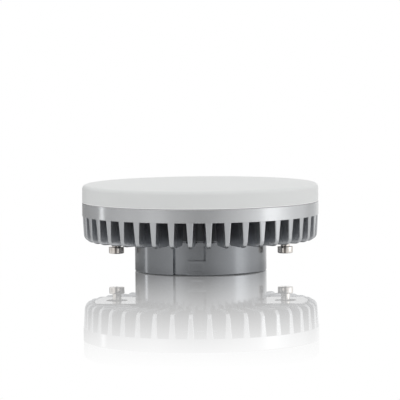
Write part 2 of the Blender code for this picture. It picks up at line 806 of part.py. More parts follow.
def led_board():
    return disc_with_holes(
        "led_board",
        LED_BOARD_RADIUS,
        LED_BOARD_BOTTOM_Z,
        LED_BOARD_TOP_Z,
        SEAT_GAP,
        WHITE_BOARD,
    )


def thermal_pad():
    return disc_with_holes(
        "thermal_pad",
        LED_BOARD_RADIUS - PAD_MARGIN,
        PAD_BOTTOM_Z,
        PAD_TOP_Z,
        SEAT_GAP,
        PAD_GREY,
    )


def leds():
    """All LEDs share one package, with its shallow round window."""
    package = block("led_package", LED_SIZE, (0.0, 0.0, 0.0), LED_CERAMIC)
    window_z = LED_SIZE[2] - LED_WINDOW_DEPTH
    window = rod(
        "led_window", LED_WINDOW_RADIUS, window_z, LED_SIZE[2] + OVERRUN, steps=10
    )
    cut(package, window)
    mesh = solid_mesh(package)
    bpy.data.objects.remove(package, do_unlink=True)
    outer = [
        (LED_OUTER_RADIUS, 360.0 * i / LED_OUTER_COUNT) for i in range(LED_OUTER_COUNT)
    ]
    inner = [
        (LED_INNER_RADIUS, LED_INNER_FIRST_ANGLE + 360.0 * i / LED_INNER_COUNT)
        for i in range(LED_INNER_COUNT)
    ]
    for number, (radius, degrees) in enumerate(outer + inner, start=1):
        led = bpy.data.objects.new(f"led_{number:02d}", mesh)
        lamp.objects.link(led)
        led.location = (*polar(radius, degrees), LED_BOARD_TOP_Z + SEAT_GAP)
        led.rotation_euler.z = math.radians(degrees)


def assembly_screws():
    """Pan-head screws through the LED board into the base's pillars."""
    head_z = LED_BOARD_TOP_Z + SEAT_GAP
    point_z = CUP_TOP_Z - SCREW_ENGAGEMENT
    length = head_z - point_z
    crown = SCREW_HEAD_HEIGHT / 2
    profile = [
        (0.0, SCREW_HEAD_HEIGHT),
        (SCREW_HEAD_RADIUS * 0.7, SCREW_HEAD_HEIGHT),
        (SCREW_HEAD_RADIUS, SCREW_HEAD_HEIGHT - crown),
        (SCREW_HEAD_RADIUS, 0.0),
        (SCREW_RADIUS, 0.0),
        (SCREW_RADIUS, SCREW_POINT - length),
        (SCREW_RADIUS / 4, -length),
        (0.0, -length),
    ]
    master = turned("screw_master", profile, SMALL_STEPS, STEEL)
    floor_z = SCREW_HEAD_HEIGHT - CROSS_DEPTH
    arm_size = (2 * CROSS_ARM, CROSS_WIDTH, CROSS_DEPTH + OVERRUN)
    cross_size = (CROSS_WIDTH, 2 * CROSS_ARM, CROSS_DEPTH + OVERRUN)
    cut(
        master,
        block("cross_arm", arm_size, (0.0, 0.0, floor_z)),
        block("cross_other_arm", cross_size, (0.0, 0.0, floor_z)),
    )
    mesh = solid_mesh(master)
    bpy.data.objects.remove(master, do_unlink=True)
    for number, (x, y) in enumerate(pillar_places(), start=1):
        screw = bpy.data.objects.new(f"assembly_screw_{number}", mesh)
        lamp.objects.link(screw)
        screw.location = (x, y, head_z)


# Contacts and wiring


def contact_pins():
    """Turned pins: mushroom head, shank through the ear, riveted tail."""
    head_top = SEAT_Z - PIN_REACH
    head_bottom = head_top - PIN_HEAD_HEIGHT
    floor_z = EAR_TOP_Z + SEAT_GAP
    rivet_z = floor_z + TAG_THICKNESS + SEAT_GAP
    edge = PIN_HEAD_EDGE
    profile = [
        (0.0, rivet_z + PIN_RIVET_HEIGHT),
        (PIN_RIVET_RADIUS * 0.6, rivet_z + PIN_RIVET_HEIGHT),
        (PIN_RIVET_RADIUS, rivet_z),
        (PIN_TAIL_RADIUS, rivet_z),
        (PIN_TAIL_RADIUS, EAR_TOP_Z),
        (PIN_SHANK_RADIUS, EAR_TOP_Z),
        (PIN_SHANK_RADIUS, head_top),
        (PIN_HEAD_RADIUS - edge / 2, head_top),
        (PIN_HEAD_RADIUS, head_top - edge / 2),
        (PIN_HEAD_RADIUS, head_bottom + edge),
        (PIN_HEAD_RADIUS - edge / 3, head_bottom + edge / 3),
        (PIN_HEAD_RADIUS - edge, head_bottom),
        (0.0, head_bottom),
    ]
    master = turned("pin_master", profile, PIN_STEPS, NICKEL)
    mesh = solid_mesh(master)
    bpy.data.objects.remove(master, do_unlink=True)
    for side, name in ((-1, "contact_pin_left"), (1, "contact_pin_right")):
        pin = bpy.data.objects.new(name, mesh)
        lamp.objects.link(pin)
        pin.location.x = side * PIN_AXIS


def solder_tags():
    """Flat ring tags on the pins' tails, tongues pointing to the boss."""
    bottom = EAR_TOP_Z + SEAT_GAP
    top = bottom + TAG_THICKNESS
    spread = math.degrees(math.asin(TAG_HALF_WIDTH / TAG_RADIUS))
    outline = [
        (-TAG_LENGTH, TAG_HALF_WIDTH),
        (-TAG_LENGTH, -TAG_HALF_WIDTH),
        *arc((0.0, 0.0), TAG_RADIUS, -180 + spread, 180 - spread, 14),
    ]
    blank = prism("tag_blank", outline, bottom, top)
    hole_radius = PIN_TAIL_RADIUS + SEAT_GAP
    hole = rod("tag_hole", hole_radius, bottom - OVERRUN, top + OVERRUN, steps=12)
    cut(blank, hole)
    mesh = solid_mesh(blank)
    mesh.materials.append(BRASS)
    for side, name in ((-1, "solder_tag_left"), (1, "solder_tag_right")):
        tag = bpy.data.objects.new(name, mesh)
        lamp.objects.link(tag)
        tag.location.x = side * PIN_AXIS
        tag.rotation_euler.z = 0.0 if side > 0 else math.pi


def wire(name, route, material):
    """A round insulated wire along a smooth curve through the route's points."""
    path = [Vector(point) for point in route]
    ends = [2 * path[0] - path[1], *path, 2 * path[-1] - path[-2]]
    steps = 3
    points = []
    for a, b, c, d in zip(ends, ends[1:], ends[2:], ends[3:]):
        for step in range(steps):
            t = step / steps
            points.append(
                0.5
                * (
                    2 * b
                    + (c - a) * t
                    + (2 * a - 5 * b + 4 * c - d) * t**2
                    + (3 * b - a - 3 * c + d) * t**3
                )
            )
    points.append(path[-1])
    curve = bpy.data.curves.new(name, "CURVE")
    curve.dimensions = "3D"
    curve.bevel_depth = WIRE_RADIUS
    curve.bevel_resolution = 2
    curve.use_fill_caps = True
    spline = curve.splines.new("POLY")
    spline.points.add(len(points) - 1)
    for target, point in zip(spline.points, points):
        target.co = (*point, 1.0)
    return add(name, curve, material)


def wires():
    lift = WIRE_RADIUS + SEAT_GAP
    tag_z = EAR_TOP_Z + SEAT_GAP + TAG_THICKNESS + lift
    tag_x = PIN_AXIS - TAG_LENGTH
    landing_x = CUP_RADIUS - LINE_WIRE_LANDING
    low_z = COMPONENT_Z
    for side, name, colour in (
        (-1, "line_wire_left", WIRE_WHITE),
        (1, "line_wire_right", WIRE_BROWN),
    ):
        y = -side * PIN_TAIL_RADIUS
        route = [
            (side * (tag_x + TAG_HALF_WIDTH), 0.0, tag_z),
            (side * (tag_x - TAG_HALF_WIDTH), 0.0, tag_z),
            (side * CUP_RADIUS, y / 2, tag_z),
            (side * landing_x, y, (tag_z + low_z) / 2),
            (side * landing_x, y, low_z),
        ]
        wire(name, route, colour)
    pad_z = LED_BOARD_TOP_Z + lift
    pad_x = WIRE_HOLE_AT + WIRE_HOLE_RADIUS + 2 * WIRE_RADIUS
    for side, name, colour in (
        (-1, "output_wire_minus", WIRE_BLACK),
        (1, "output_wire_plus", WIRE_RED),
    ):
        y = side * OUTPUT_WIRE_SPACING / 2
        route = [
            (WIRE_HOLE_AT, y, COMPONENT_Z),
            (WIRE_HOLE_AT, y, PLATE_BOTTOM_Z),
            (WIRE_HOLE_AT, y, LED_BOARD_TOP_Z),
            (WIRE_HOLE_AT + WIRE_RADIUS, y, pad_z + WIRE_RADIUS),
            (pad_x, y, pad_z),
            (pad_x + 2 * WIRE_RADIUS, y, pad_z),
        ]
        wire(name, route, colour)


def insulating_sheet():
    """Die-cut film that lies on the cup and on the terminal channels."""
    sheet = rod(
        "insulating_sheet",
        BOSS_RADIUS - BOSS_NECK_STEP,
        SHEET_BOTTOM_Z,
        SHEET_TOP_Z,
        steps=BOSS_STEPS,
        material=FILM,
    )
    tongues = prism(
        "sheet_tongues", terminal_outline(), SHEET_BOTTOM_Z, SHEET_TOP_Z
    )
    join(sheet, tongues)
    pierce(sheet, SHEET_BOTTOM_Z, SHEET_TOP_Z, SEAT_GAP)
    return sheet


# Driver board and its components


def laid_out(at):
    """A place on the driver board, moved in or out with the cup's wall."""
    return at[0] * LAYOUT_SCALE, at[1] * LAYOUT_SCALE


def driver_board():
    board = rod(
        "driver_board",
        CUP_RADIUS - SEAT_GAP,
        DRIVER_BOARD_BOTTOM_Z,
        DRIVER_BOARD_TOP_Z,
        steps=BOSS_STEPS,
        material=GREEN_BOARD,
    )
    notch = rod(
        "pillar_notch",
        PILLAR_RADIUS + SEAT_GAP,
        DRIVER_BOARD_BOTTOM_Z - OVERRUN,
        DRIVER_BOARD_TOP_Z + OVERRUN,
    )
    places = [Matrix.Translation((x, y, 0.0)) for x, y in pillar_places()]
    cut(board, copies("pillar_notches", notch.data, places))
    return board


def can_capacitor(name, radius, height, at):
    """A sleeved aluminium can with the crimp near its foot."""
    radius *= LAYOUT_SCALE
    height *= HEIGHT_SCALE
    crimp = radius / 10
    profile = [
        (0.0, height),
        (radius - crimp, height),
        (radius, height - crimp),
        (radius, 5 * crimp),
        (radius - crimp, 4 * crimp),
        (radius, 3 * crimp),
        (radius, 0.0),
        (0.0, 0.0),
    ]
    can = turned(name, profile, SMALL_STEPS, SLEEVE)
    can.location = (*laid_out(at), COMPONENT_Z)
    return can


def filter_inductor():
    """Drum core with its winding between the two flanges."""
    height = INDUCTOR_HEIGHT * HEIGHT_SCALE
    flange = height / 6
    radius = INDUCTOR_RADIUS * LAYOUT_SCALE
    waist = radius * 0.85
    profile = [
        (0.0, height),
        (radius, height),
        (radius, height - flange),
        (waist, height - flange),
        (waist, flange),
        (radius, flange),
        (radius, 0.0),
        (0.0, 0.0),
    ]
    drum = turned("filter_inductor", profile, SMALL_STEPS, COPPER)
    drum.location = (*laid_out(INDUCTOR_AT), COMPONENT_Z)
    return drum


def transformer():
    """Two E cores face to face, with the taped winding round the middle leg."""
    width, depth, height = CORE_SIZE
    width *= LAYOUT_SCALE
    depth *= LAYOUT_SCALE
    height *= HEIGHT_SCALE
    middle = laid_out(CORE_AT)
    core = block(
        "transformer_core",
        (width, depth, height),
        (*middle, COMPONENT_Z),
        FERRITE,
        CORE_YOKE / 6,
    )
    window_width = (width - CORE_LEG - 2 * CORE_YOKE) / 2
    window_height = height - 2 * CORE_YOKE
    window_middle = (CORE_LEG + window_width) / 2
    for side in (-1, 1):
        window = block(
            f"core_window_{side}",
            (window_width, depth + 2 * OVERRUN, window_height),
            (middle[0] + side * window_middle, middle[1], COMPONENT_Z + CORE_YOKE),
        )
        cut(core, window)
    sleeve_width = width - 2 * CORE_YOKE - 2 * SEAT_GAP
    sleeve_height = window_height - 2 * SEAT_GAP
    sleeve_z = COMPONENT_Z + CORE_YOKE + SEAT_GAP
    winding = block(
        "transformer_winding",
        (sleeve_width, depth + 2 * WINDING_OVERHANG, sleeve_height),
        (*middle, sleeve_z),
        TAPE_YELLOW,
        CORE_YOKE / 3,
    )
    bore = block(
        "winding_bore",
        (CORE_LEG + 2 * SEAT_GAP, depth + 2 * SEAT_GAP, sleeve_height + 2 * OVERRUN),
        (*middle, sleeve_z - OVERRUN),
    )
    cut(winding, bore)


def fuse_resistor():
    """A lying axial resistor with its end caps."""
    length = FUSE_LENGTH * LAYOUT_SCALE
    radius = FUSE_RADIUS * LAYOUT_SCALE
    cap = length / 6
    slope = cap * 0.4
    waist = radius * 0.85
    profile = [
        (0.0, length),
        (radius, length),
        (radius, length - cap),
        (waist, length - cap - slope),
        (waist, cap + slope),
        (radius, cap),
        (radius, 0.0),
        (0.0, 0.0),
    ]
    body = turned("fuse_resistor", profile, SMALL_STEPS, FUSE_GREEN)
    body.rotation_euler.x = math.radians(90.0)
    x, y = laid_out(FUSE_AT)
    body.location = (x, y + length / 2, COMPONENT_Z + radius)
    return body


def varistor():
    """A lacquered disc that stands on its two short legs."""
    half = VARISTOR_THICKNESS / 2
    edge = half / 2
    radius = VARISTOR_RADIUS * LAYOUT_SCALE
    x, y = laid_out(VARISTOR_AT)
    profile = [
        (0.0, half),
        (radius - edge, half),
        (radius, half - edge),
        (radius, edge - half),
        (radius - edge, -half),
        (0.0, -half),
    ]
    disc = turned("varistor", profile, SMALL_STEPS, VARISTOR_BLUE)
    disc.rotation_euler.x = math.radians(90.0)
    disc.location = (x, y, COMPONENT_Z + VARISTOR_LEG + radius)
    leg_width = VARISTOR_LEG / 2
    for side in (-1, 1):
        leg = block(
            f"varistor_leg_{side}",
            (leg_width, leg_width, VARISTOR_LEG + radius),
            (x + side * radius / 2, y, COMPONENT_Z),
        )
        join(disc, leg)
    return disc


def package(name, size, at, lead_sides, leads_per_side):
    """A moulded package that hangs under the driver board, with its flat leads."""
    width, depth, height = size
    width *= LAYOUT_SCALE
    depth *= LAYOUT_SCALE
    at = laid_out(at)
    top = DRIVER_BOARD_BOTTOM_Z - SEAT_GAP
    body = block(
        name, (width, depth, height), (*at, top - height), EPOXY, height / 8
    )
    across = lead_sides == "x"
    span = depth if across else width
    lead_reach = PACKAGE_LEAD_REACH * LAYOUT_SCALE
    reach = (width if across else depth) + 2 * lead_reach
    for i in range(leads_per_side):
        offset = span * ((i + 0.5) / leads_per_side - 0.5)
        lead_size = (
            (reach, PACKAGE_LEAD_WIDTH, PACKAGE_LEAD_THICKNESS)
            if across
            else (PACKAGE_LEAD_WIDTH, reach, PACKAGE_LEAD_THICKNESS)
        )
        place = (
            (at[0], at[1] + offset) if across else (at[0] + offset, at[1])
        )
        lead = block(f"{name}_lead_{i}", lead_size, (*place, top - height / 2))
        join(body, lead)
    return body


def components():
    can_capacitor(
        "bulk_capacitor",
        BULK_CAPACITOR_RADIUS,
        BULK_CAPACITOR_HEIGHT,
        BULK_CAPACITOR_AT,
    )
    can_capacitor(
        "output_capacitor",
        OUTPUT_CAPACITOR_RADIUS,
        OUTPUT_CAPACITOR_HEIGHT,
        OUTPUT_CAPACITOR_AT,
    )
    width, depth, height = FILTER_CAPACITOR_SIZE
    block(
        "filter_capacitor",
        (width * LAYOUT_SCALE, depth * LAYOUT_SCALE, height * HEIGHT_SCALE),
        (*laid_out(FILTER_CAPACITOR_AT), COMPONENT_Z),
        BOX_YELLOW,
        width / 12,
    )
    filter_inductor()
    transformer()
    fuse_resistor()
    varistor()
    package("bridge_rectifier", RECTIFIER_SIZE, RECTIFIER_AT, "y", 2)
    package("driver_chip", CHIP_SIZE, CHIP_AT, "y", 4)
    package("output_diode", DIODE_SIZE, DIODE_AT, "x", 1)


base_cap()
contact_pins()
solder_tags()
driver_board()
components()
wires()
insulating_sheet()
heat_sink()
thermal_pad()
led_board()
leds()
assembly_screws()
diffuser()
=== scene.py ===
import math

import bmesh
import bpy
from mathutils import Matrix, Vector


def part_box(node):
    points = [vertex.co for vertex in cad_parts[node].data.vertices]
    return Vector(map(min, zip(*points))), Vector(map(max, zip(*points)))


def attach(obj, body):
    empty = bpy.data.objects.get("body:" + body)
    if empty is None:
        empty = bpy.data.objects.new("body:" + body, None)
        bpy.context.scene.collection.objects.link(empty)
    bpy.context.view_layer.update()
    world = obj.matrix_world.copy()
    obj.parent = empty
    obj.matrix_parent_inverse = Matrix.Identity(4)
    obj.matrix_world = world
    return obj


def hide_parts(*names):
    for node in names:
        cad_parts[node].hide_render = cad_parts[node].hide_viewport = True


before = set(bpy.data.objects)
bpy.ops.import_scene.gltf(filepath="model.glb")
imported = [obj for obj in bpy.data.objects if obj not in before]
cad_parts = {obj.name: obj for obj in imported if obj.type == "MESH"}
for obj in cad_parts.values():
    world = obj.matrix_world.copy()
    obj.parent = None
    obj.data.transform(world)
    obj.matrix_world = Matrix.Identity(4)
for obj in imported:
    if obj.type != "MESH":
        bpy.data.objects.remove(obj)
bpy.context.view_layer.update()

# Camera. The photograph is taken from 0.9 m away, a little above the lamp, with a long
# lens held not quite level. The pins lie nearly across the view, the right one nearer.
CAMERA_AZIMUTH = 3.9
CAMERA_DISTANCE = 0.9
CAMERA_HEIGHT = 0.0858
CAMERA_TILT = 4.058
CAMERA_ROLL = -0.53
CAMERA_SIDE = -0.00007
CAMERA_LENS = 259.3
SENSOR_WIDTH = 36.0
NEAREST_SEEN = 0.05
FARTHEST_SEEN = 50.0

camera_data = bpy.data.cameras.new("camera")
camera_data.sensor_width = SENSOR_WIDTH
camera_data.lens = CAMERA_LENS
camera_data.clip_start = NEAREST_SEEN
camera_data.clip_end = FARTHEST_SEEN
camera = bpy.data.objects.new("camera", camera_data)
camera.matrix_world = (
    Matrix.Rotation(math.radians(CAMERA_AZIMUTH), 4, "Z")
    @ Matrix.Translation((CAMERA_SIDE, -CAMERA_DISTANCE, CAMERA_HEIGHT))
    @ Matrix.Rotation(math.radians(90.0 - CAMERA_TILT), 4, "X")
    @ Matrix.Rotation(math.radians(CAMERA_ROLL), 4, "Z")
)
bpy.context.scene.collection.objects.link(camera)
bpy.context.scene.camera = camera
bpy.context.scene.view_settings.view_transform = "Standard"


# Base cap. One moulding in polycarbonate: the boss with its two L-shaped slots, the
# ears that carry the pins, and the channels from them to the cup. Side slides of the
# mould leave the slots. It is sprayed silver grey. Above the lip, between the fins, the
# neck is painted dark as painted shade.
BOSS_RADIUS = 0.0206
BOSS_STEPS = 200
BOSS_EDGE = 0.0008
BOSS_EDGE_STEPS = 5
NECK_RADIUS = 0.0203
GROOVE_RADIUS = 0.0201
SEAT_Z = 0.00955
LIP_Z = 0.01035
GROOVE_Z = 0.01085
CUP_TOP_Z = 0.0165
CUP_RADIUS = 0.0184
CUP_FLOOR_Z = 0.0018
LEDGE_Z = 0.0046
LEDGE_RADIUS = 0.0174
FOOT_RADIUS = 0.0168
DISH_DEPTH = 0.0003
SLOT_START = -20.5
SLOT_ENTRY_COLUMNS = 7
SLOT_RUN_COLUMNS = 9
SLOT_RADIUS = 0.0197
SHELF_Z = 0.00476
SLOT_TOP_Z = 0.00925
SLOT_EDGE = 0.00014
SLOT_END_DRAFT = 0.0006
ENTRY_EDGE = 0.0005
PANEL_MARGIN = 0.0007
PANEL_SLOPE = 0.00015
PANEL_DEPTH = 0.0001
JOIN_RADIUS = 0.0195
EAR_HALF_WIDTH = 0.0100
EAR_END = 0.0335
EAR_TOP_Z = 0.01155
EAR_EDGE = 0.00025
EAR_STEPS = 24
CHANNEL_END = 0.0311
CHANNEL_HALF_WIDTH = 0.0046
CHANNEL_CORNER = 0.0020
CHANNEL_CORNER_STEPS = 6
CHANNEL_WALL = 0.0012
HOLLOW_CORNER_STEPS = 4
CHANNEL_TOP_Z = 0.0163
PIN_AXIS = 0.0265
PIN_HOLE = 0.00172
PIN_HOLE_STEPS = 48
PIN_DISH = 0.0034
PIN_DISH_DEPTH = 0.0004
PILLAR_AXIS = 0.0162
PILLAR_RADIUS = 0.0026
PILLAR_BORE = 0.00155
PILLAR_STEPS = 24
PILLAR_ANGLES = (90.0, 210.0, 330.0)
SPRAYED_GREYS = (0.252, 0.262, 0.276), (0.277, 0.287, 0.301)
# Painted shade on the neck above the lip.
PAINTED_SHADE_PLASTIC = (0.075, 0.078, 0.083)
OVERRUN = 0.001
WELD = 0.000002
NEAR = 0.00001
SHARP_ANGLE = 35.0
CORNER_ANGLE = 60.0
NOISE_LOW = 0.3
NOISE_HIGH = 0.7


class Amount:
    """A number that differs from point to point of a surface. Plain sums on it add the
    Math nodes that work them out."""

    def __init__(self, tree, socket):
        self.tree = tree
        self.socket = socket

    def math(self, operation, *values):
        return Nodes(self.tree).math(operation, *values)

    def __abs__(self):
        return self.math("ABSOLUTE", self)

    def __add__(self, other):
        return self.math("ADD", self, other)

    def __radd__(self, other):
        return self.math("ADD", other, self)

    def __sub__(self, other):
        return self.math("SUBTRACT", self, other)

    def __rsub__(self, other):
        return self.math("SUBTRACT", other, self)

    def __mul__(self, other):
        return self.math("MULTIPLY", self, other)

    def __rmul__(self, other):
        return self.math("MULTIPLY", other, self)

    def __truediv__(self, other):
        return self.math("DIVIDE", self, other)

    def __rtruediv__(self, other):
        return self.math("DIVIDE", other, self)

    def __pow__(self, other):
        return self.math("POWER", self, other)

    def __rpow__(self, other):
        return self.math("POWER", other, self)


class Nodes:
    """The nodes of one material, or of the studio's light."""

    def __init__(self, tree):
        self.tree = tree

    def node(self, kind, settings=None, *ordered, **named):
        """Adds a node. Its settings are set first, a ramp's stops among them, then the
        value or link of each socket, in order or by name. It gives the outputs by name."""
        made = self.tree.nodes.new(kind)
        settings = dict(settings or {})
        stops = settings.pop("stops", None)
        for key, value in settings.items():
            setattr(made, key, value)
        if stops:
            ramp = made.color_ramp
            while len(ramp.elements) < len(stops):
                ramp.elements.new(1.0)
            for stop, (position, level) in zip(ramp.elements, stops):
                stop.position = position
                stop.color = (level, level, level, 1.0)
        pairs = list(zip(made.inputs, ordered))
        open_inputs = [s for s in made.inputs if s.enabled]
        for key, value in named.items():
            label = key.replace("_", " ")
            pairs.append((next(s for s in open_inputs if s.name == label), value))
        for entry, value in pairs:
            if isinstance(value, Amount):
                self.tree.links.new(value.socket, entry)
            elif entry.type == "RGBA":
                entry.default_value = (*value, 1.0)
            else:
                entry.default_value = value
        return {s.name: Amount(self.tree, s) for s in made.outputs if s.enabled}

    def math(self, operation, *values):
        """Adds a Math node, by the name of its operation."""
        return self.node("ShaderNodeMath", {"operation": operation}, *values)["Value"]

    def span(self, value, low, high, start=0.0, end=1.0):
        """Maps a value from one range to another with soft ends, and stops there."""
        return self.node(
            "ShaderNodeMapRange",
            {"interpolation_type": "SMOOTHSTEP"},
            Value=value,
            From_Min=low,
            From_Max=high,
            To_Min=start,
            To_Max=end,
        )["Result"]

    def mix(self, factor, first, second):
        """Mixes two colours. The factor is the share of the second."""
        settings = {"data_type": "RGBA"}
        return self.node("ShaderNodeMix", settings, Factor=factor, A=first, B=second)["Result"]


class Finish(Nodes):
    """A material. Values that are the same all over are given to its shader by name."""

    def __init__(self, name, **fixed):
        self.material = bpy.data.materials.new(name)
        self.material.use_nodes = True
        super().__init__(self.material.node_tree)
        self.shader = self.tree.nodes["Principled BSDF"]
        self.place = self.node("ShaderNodeTexCoord")["Object"]
        for key, value in fixed.items():
            self.shader.inputs[key.replace("_", " ")].default_value = value

    def noise(self, size, detail=2.0, stretch=(1.0, 1.0, 1.0)):
        """Soft random mottling. Its blotches are about this many metres across."""
        at = self.node("ShaderNodeMapping", Vector=self.place, Scale=stretch)["Vector"]
        noise = self.node("ShaderNodeTexNoise", Vector=at, Scale=1.0 / size, Detail=detail)
        return noise["Fac"]

    def spread(self, pattern, low=0.0, high=1.0):
        """Spreads a noise, whose values lie mostly in its middle, over a range."""
        return self.span(pattern, NOISE_LOW, NOISE_HIGH, low, high)

    def axes(self):
        """The point's place on the lamp, as x, y and z in metres."""
        parts = self.node("ShaderNodeSeparateXYZ", Vector=self.place)
        return parts["X"], parts["Y"], parts["Z"]

    def repeated(self, count, radius, first=0.0):
        """The point's place on whichever of a ring of like pieces it belongs to, measured
        from that piece's middle: outwards, sideways and up."""
        x, y, z = self.axes()
        share = math.tau / count
        turn = self.math("ARCTAN2", y, x) + (share / 2 - math.radians(first))
        turn = self.math("WRAP", turn, share, 0.0) - share / 2
        reach = (x ** 2 + y ** 2) ** 0.5
        across = reach * self.math("SINE", turn)
        return reach * self.math("COSINE", turn) - radius, across, z

    def relief(self, height, distance):
        """Bumps in the surface. Their pattern runs from 0 to 1, for this many metres."""
        return self.node("ShaderNodeBump", Height=height, Distance=distance)["Normal"]

    def done(self, **sources):
        """Links what varies to the shader, and gives the material."""
        for key, source in sources.items():
            self.tree.links.new(source.socket, self.shader.inputs[key.replace("_", " ")])
        return self.material


def soften(shape, edges, radius, segments=3):
    """Rounds edges, as a mould or a turning tool does."""
    bmesh.ops.bevel(
        shape,
        geom=edges,
        offset=radius,
        segments=segments,
        profile=0.5,
        affect="EDGES",
        clamp_overlap=True,
        material=-1,
    )


def ring(shape, radius, z):
    """The edges of one turned ring, found by its radius and height."""
    def on_ring(vert):
        return abs(vert.co.z - z) < NEAR and abs(vert.co.xy.length - radius) < NEAR

    return [edge for edge in shape.edges if all(on_ring(v) for v in edge.verts)]


def bend(edge):
    """The angle in degrees between the two faces that meet at an edge."""
    return math.degrees(edge.calc_face_angle()) if edge.is_manifold else 0.0


def turned(profile, steps, first=0.0):
    """Spins a section about the lamp's axis. Each point is a radius and a height. A third
    number rounds the ring that it makes, in the number of steps that may follow. A
    section off the axis closes on itself."""
    shape = bmesh.new()
    start = Matrix.Rotation(math.radians(first), 3, "Z")
    points = [shape.verts.new(start @ Vector((p[0], 0.0, p[1]))) for p in profile]
    edges = [shape.edges.new(pair) for pair in zip(points, points[1:])]
    if profile[0][0] or profile[-1][0]:
        edges.append(shape.edges.new((points[-1], points[0])))
    bmesh.ops.spin(
        shape,
        geom=points + edges,
        cent=(0.0, 0.0, 0.0),
        axis=(0.0, 0.0, 1.0),
        angle=math.tau,
        steps=steps,
        use_merge=True,
    )
    bmesh.ops.remove_doubles(shape, verts=shape.verts[:], dist=WELD)
    bmesh.ops.recalc_face_normals(shape, faces=shape.faces[:])
    for point in profile:
        if len(point) > 2:
            soften(shape, ring(shape, point[0], point[1]), *point[2:])
    return shape


def piece(name, shape, material=None):
    """Makes the object of a finished shape, smooth but for its sharp edges."""
    mesh = bpy.data.meshes.new(name)
    shape.to_mesh(mesh)
    shape.free()
    mesh.shade_smooth()
    mesh.set_sharp_from_angle(angle=math.radians(SHARP_ANGLE))
    made = bpy.data.objects.new(name, mesh)
    bpy.context.scene.collection.objects.link(made)
    if material:
        mesh.materials.append(material)
    return made


def keep_flat(made):
    """Lets the broad faces keep their own shading, and the rounded edges do the turning."""
    even = made.modifiers.new("even_shading", "WEIGHTED_NORMAL")
    even.keep_sharp = True


def carve(target, tool, operation="DIFFERENCE"):
    """Cuts a tool's shape out of the target, or joins it on, and drops the tool."""
    boolean = target.modifiers.new("carve", "BOOLEAN")
    boolean.object = tool
    boolean.operation = operation
    boolean.solver = "EXACT"
    weld = target.modifiers.new("weld", "WELD")
    weld.merge_threshold = WELD
    bpy.context.view_layer.update()
    graph = bpy.context.evaluated_depsgraph_get()
    mesh = bpy.data.meshes.new_from_object(target.evaluated_get(graph))
    target.modifiers.clear()
    target.data = mesh
    bpy.data.objects.remove(tool, do_unlink=True)
    mesh.shade_smooth()
    mesh.set_sharp_from_angle(angle=math.radians(SHARP_ANGLE))


def arc(radius, start, end, steps, centre=(0.0, 0.0)):
    """Points along an arc in plan, both ends included, with angles in degrees."""
    angles = [math.radians(start + (end - start) * i / steps) for i in range(steps + 1)]
    x, y = centre
    return [(x + radius * math.cos(a), y + radius * math.sin(a)) for a in angles]


def raised(shape, plan, bottom, top):
    """Raises a plan outline from one height to another."""
    face = shape.faces.new([shape.verts.new((x, y, bottom)) for x, y in plan])
    up = bmesh.ops.extrude_face_region(shape, geom=[face], use_keep_orig=True)["geom"]
    moved = [item for item in up if isinstance(item, bmesh.types.BMVert)]
    bmesh.ops.translate(shape, verts=moved, vec=(0.0, 0.0, top - bottom))
    bmesh.ops.recalc_face_normals(shape, faces=shape.faces[:])


def channel_end(corner, steps):
    """The end of a terminal channel in plan, with this radius at its two corners."""
    far, wide = CHANNEL_END - CHANNEL_CORNER, CHANNEL_HALF_WIDTH - CHANNEL_CORNER
    return arc(corner, -90, 0, steps, (far, -wide)) + arc(corner, 0, 90, steps, (far, wide))


def and_opposite(plan):
    """A plan outline that runs on through the same outline across the lamp."""
    return plan + [(-x, -y) for x, y in plan]


def both_sides(shape):
    """Adds the same shape on the other side of the lamp."""
    bmesh.ops.spin(
        shape,
        geom=shape.verts[:] + shape.edges[:] + shape.faces[:],
        cent=(0.0, 0.0, 0.0),
        axis=(0.0, 0.0, 1.0),
        angle=math.pi,
        steps=1,
        use_duplicate=True,
    )
    return shape


def sink_slot(shape, first):
    """Sinks one L-shaped slot into the boss's wall. Its floor is a copy of the wall
    there, pushed in, and its sides are drawn in from the opening's edge. Its entry is
    open at the boss's end. It starts at an angle, and the columns of the boss's mesh
    give its widths."""
    pitch = 360.0 / BOSS_STEPS
    corner, end = SLOT_ENTRY_COLUMNS, SLOT_ENTRY_COLUMNS + SLOT_RUN_COLUMNS

    def column(vert):
        turn = math.degrees(math.atan2(vert.co.x, -vert.co.y)) - first
        return round((turn % 360.0) / pitch) % BOSS_STEPS

    def last_column(face):
        return max(column(v) for v in face.verts)

    def on_wall(face):
        if any(abs(v.co.xy.length - BOSS_RADIUS) > NEAR for v in face.verts):
            return False
        heights = [v.co.z for v in face.verts]
        last = end if min(heights) > SHELF_Z - NEAR else corner
        return max(heights) < SLOT_TOP_Z + NEAR and last_column(face) <= last

    def on_foot(face):
        flat = all(abs(v.co.z) < NEAR for v in face.verts)
        outer = all(v.co.xy.length > SLOT_RADIUS - NEAR for v in face.verts)
        return flat and outer and last_column(face) <= corner

    wall = [face for face in shape.faces if on_wall(face)]
    foot = [face for face in shape.faces if on_foot(face)]
    gone = set(wall + foot)
    mouth = [
        edge
        for face in wall
        for edge in face.edges
        if len(gone.intersection(edge.link_faces)) == 1
    ]
    floor = bmesh.ops.duplicate(shape, geom=wall)["geom"]
    sides = bmesh.ops.extrude_edge_only(shape, edges=mouth)["geom"]
    lean = Matrix.Rotation(-SLOT_END_DRAFT / SLOT_RADIUS, 3, "Z")
    for vert in shape.verts:
        on_floor_ring = abs(vert.co.z) < NEAR and abs(vert.co.xy.length - SLOT_RADIUS) < NEAR
        if on_floor_ring and column(vert) == 0:
            vert.co = lean @ vert.co
    for item in floor + sides:
        if isinstance(item, bmesh.types.BMVert):
            at_side = column(item) in (0, end)
            item.co.xy = item.co.xy.normalized() * SLOT_RADIUS
            if at_side:
                item.co = lean @ item.co
    bmesh.ops.delete(shape, geom=wall + foot, context="FACES")
    bmesh.ops.remove_doubles(shape, verts=shape.verts[:], dist=WELD)
    bmesh.ops.recalc_face_normals(shape, faces=shape.faces[:])


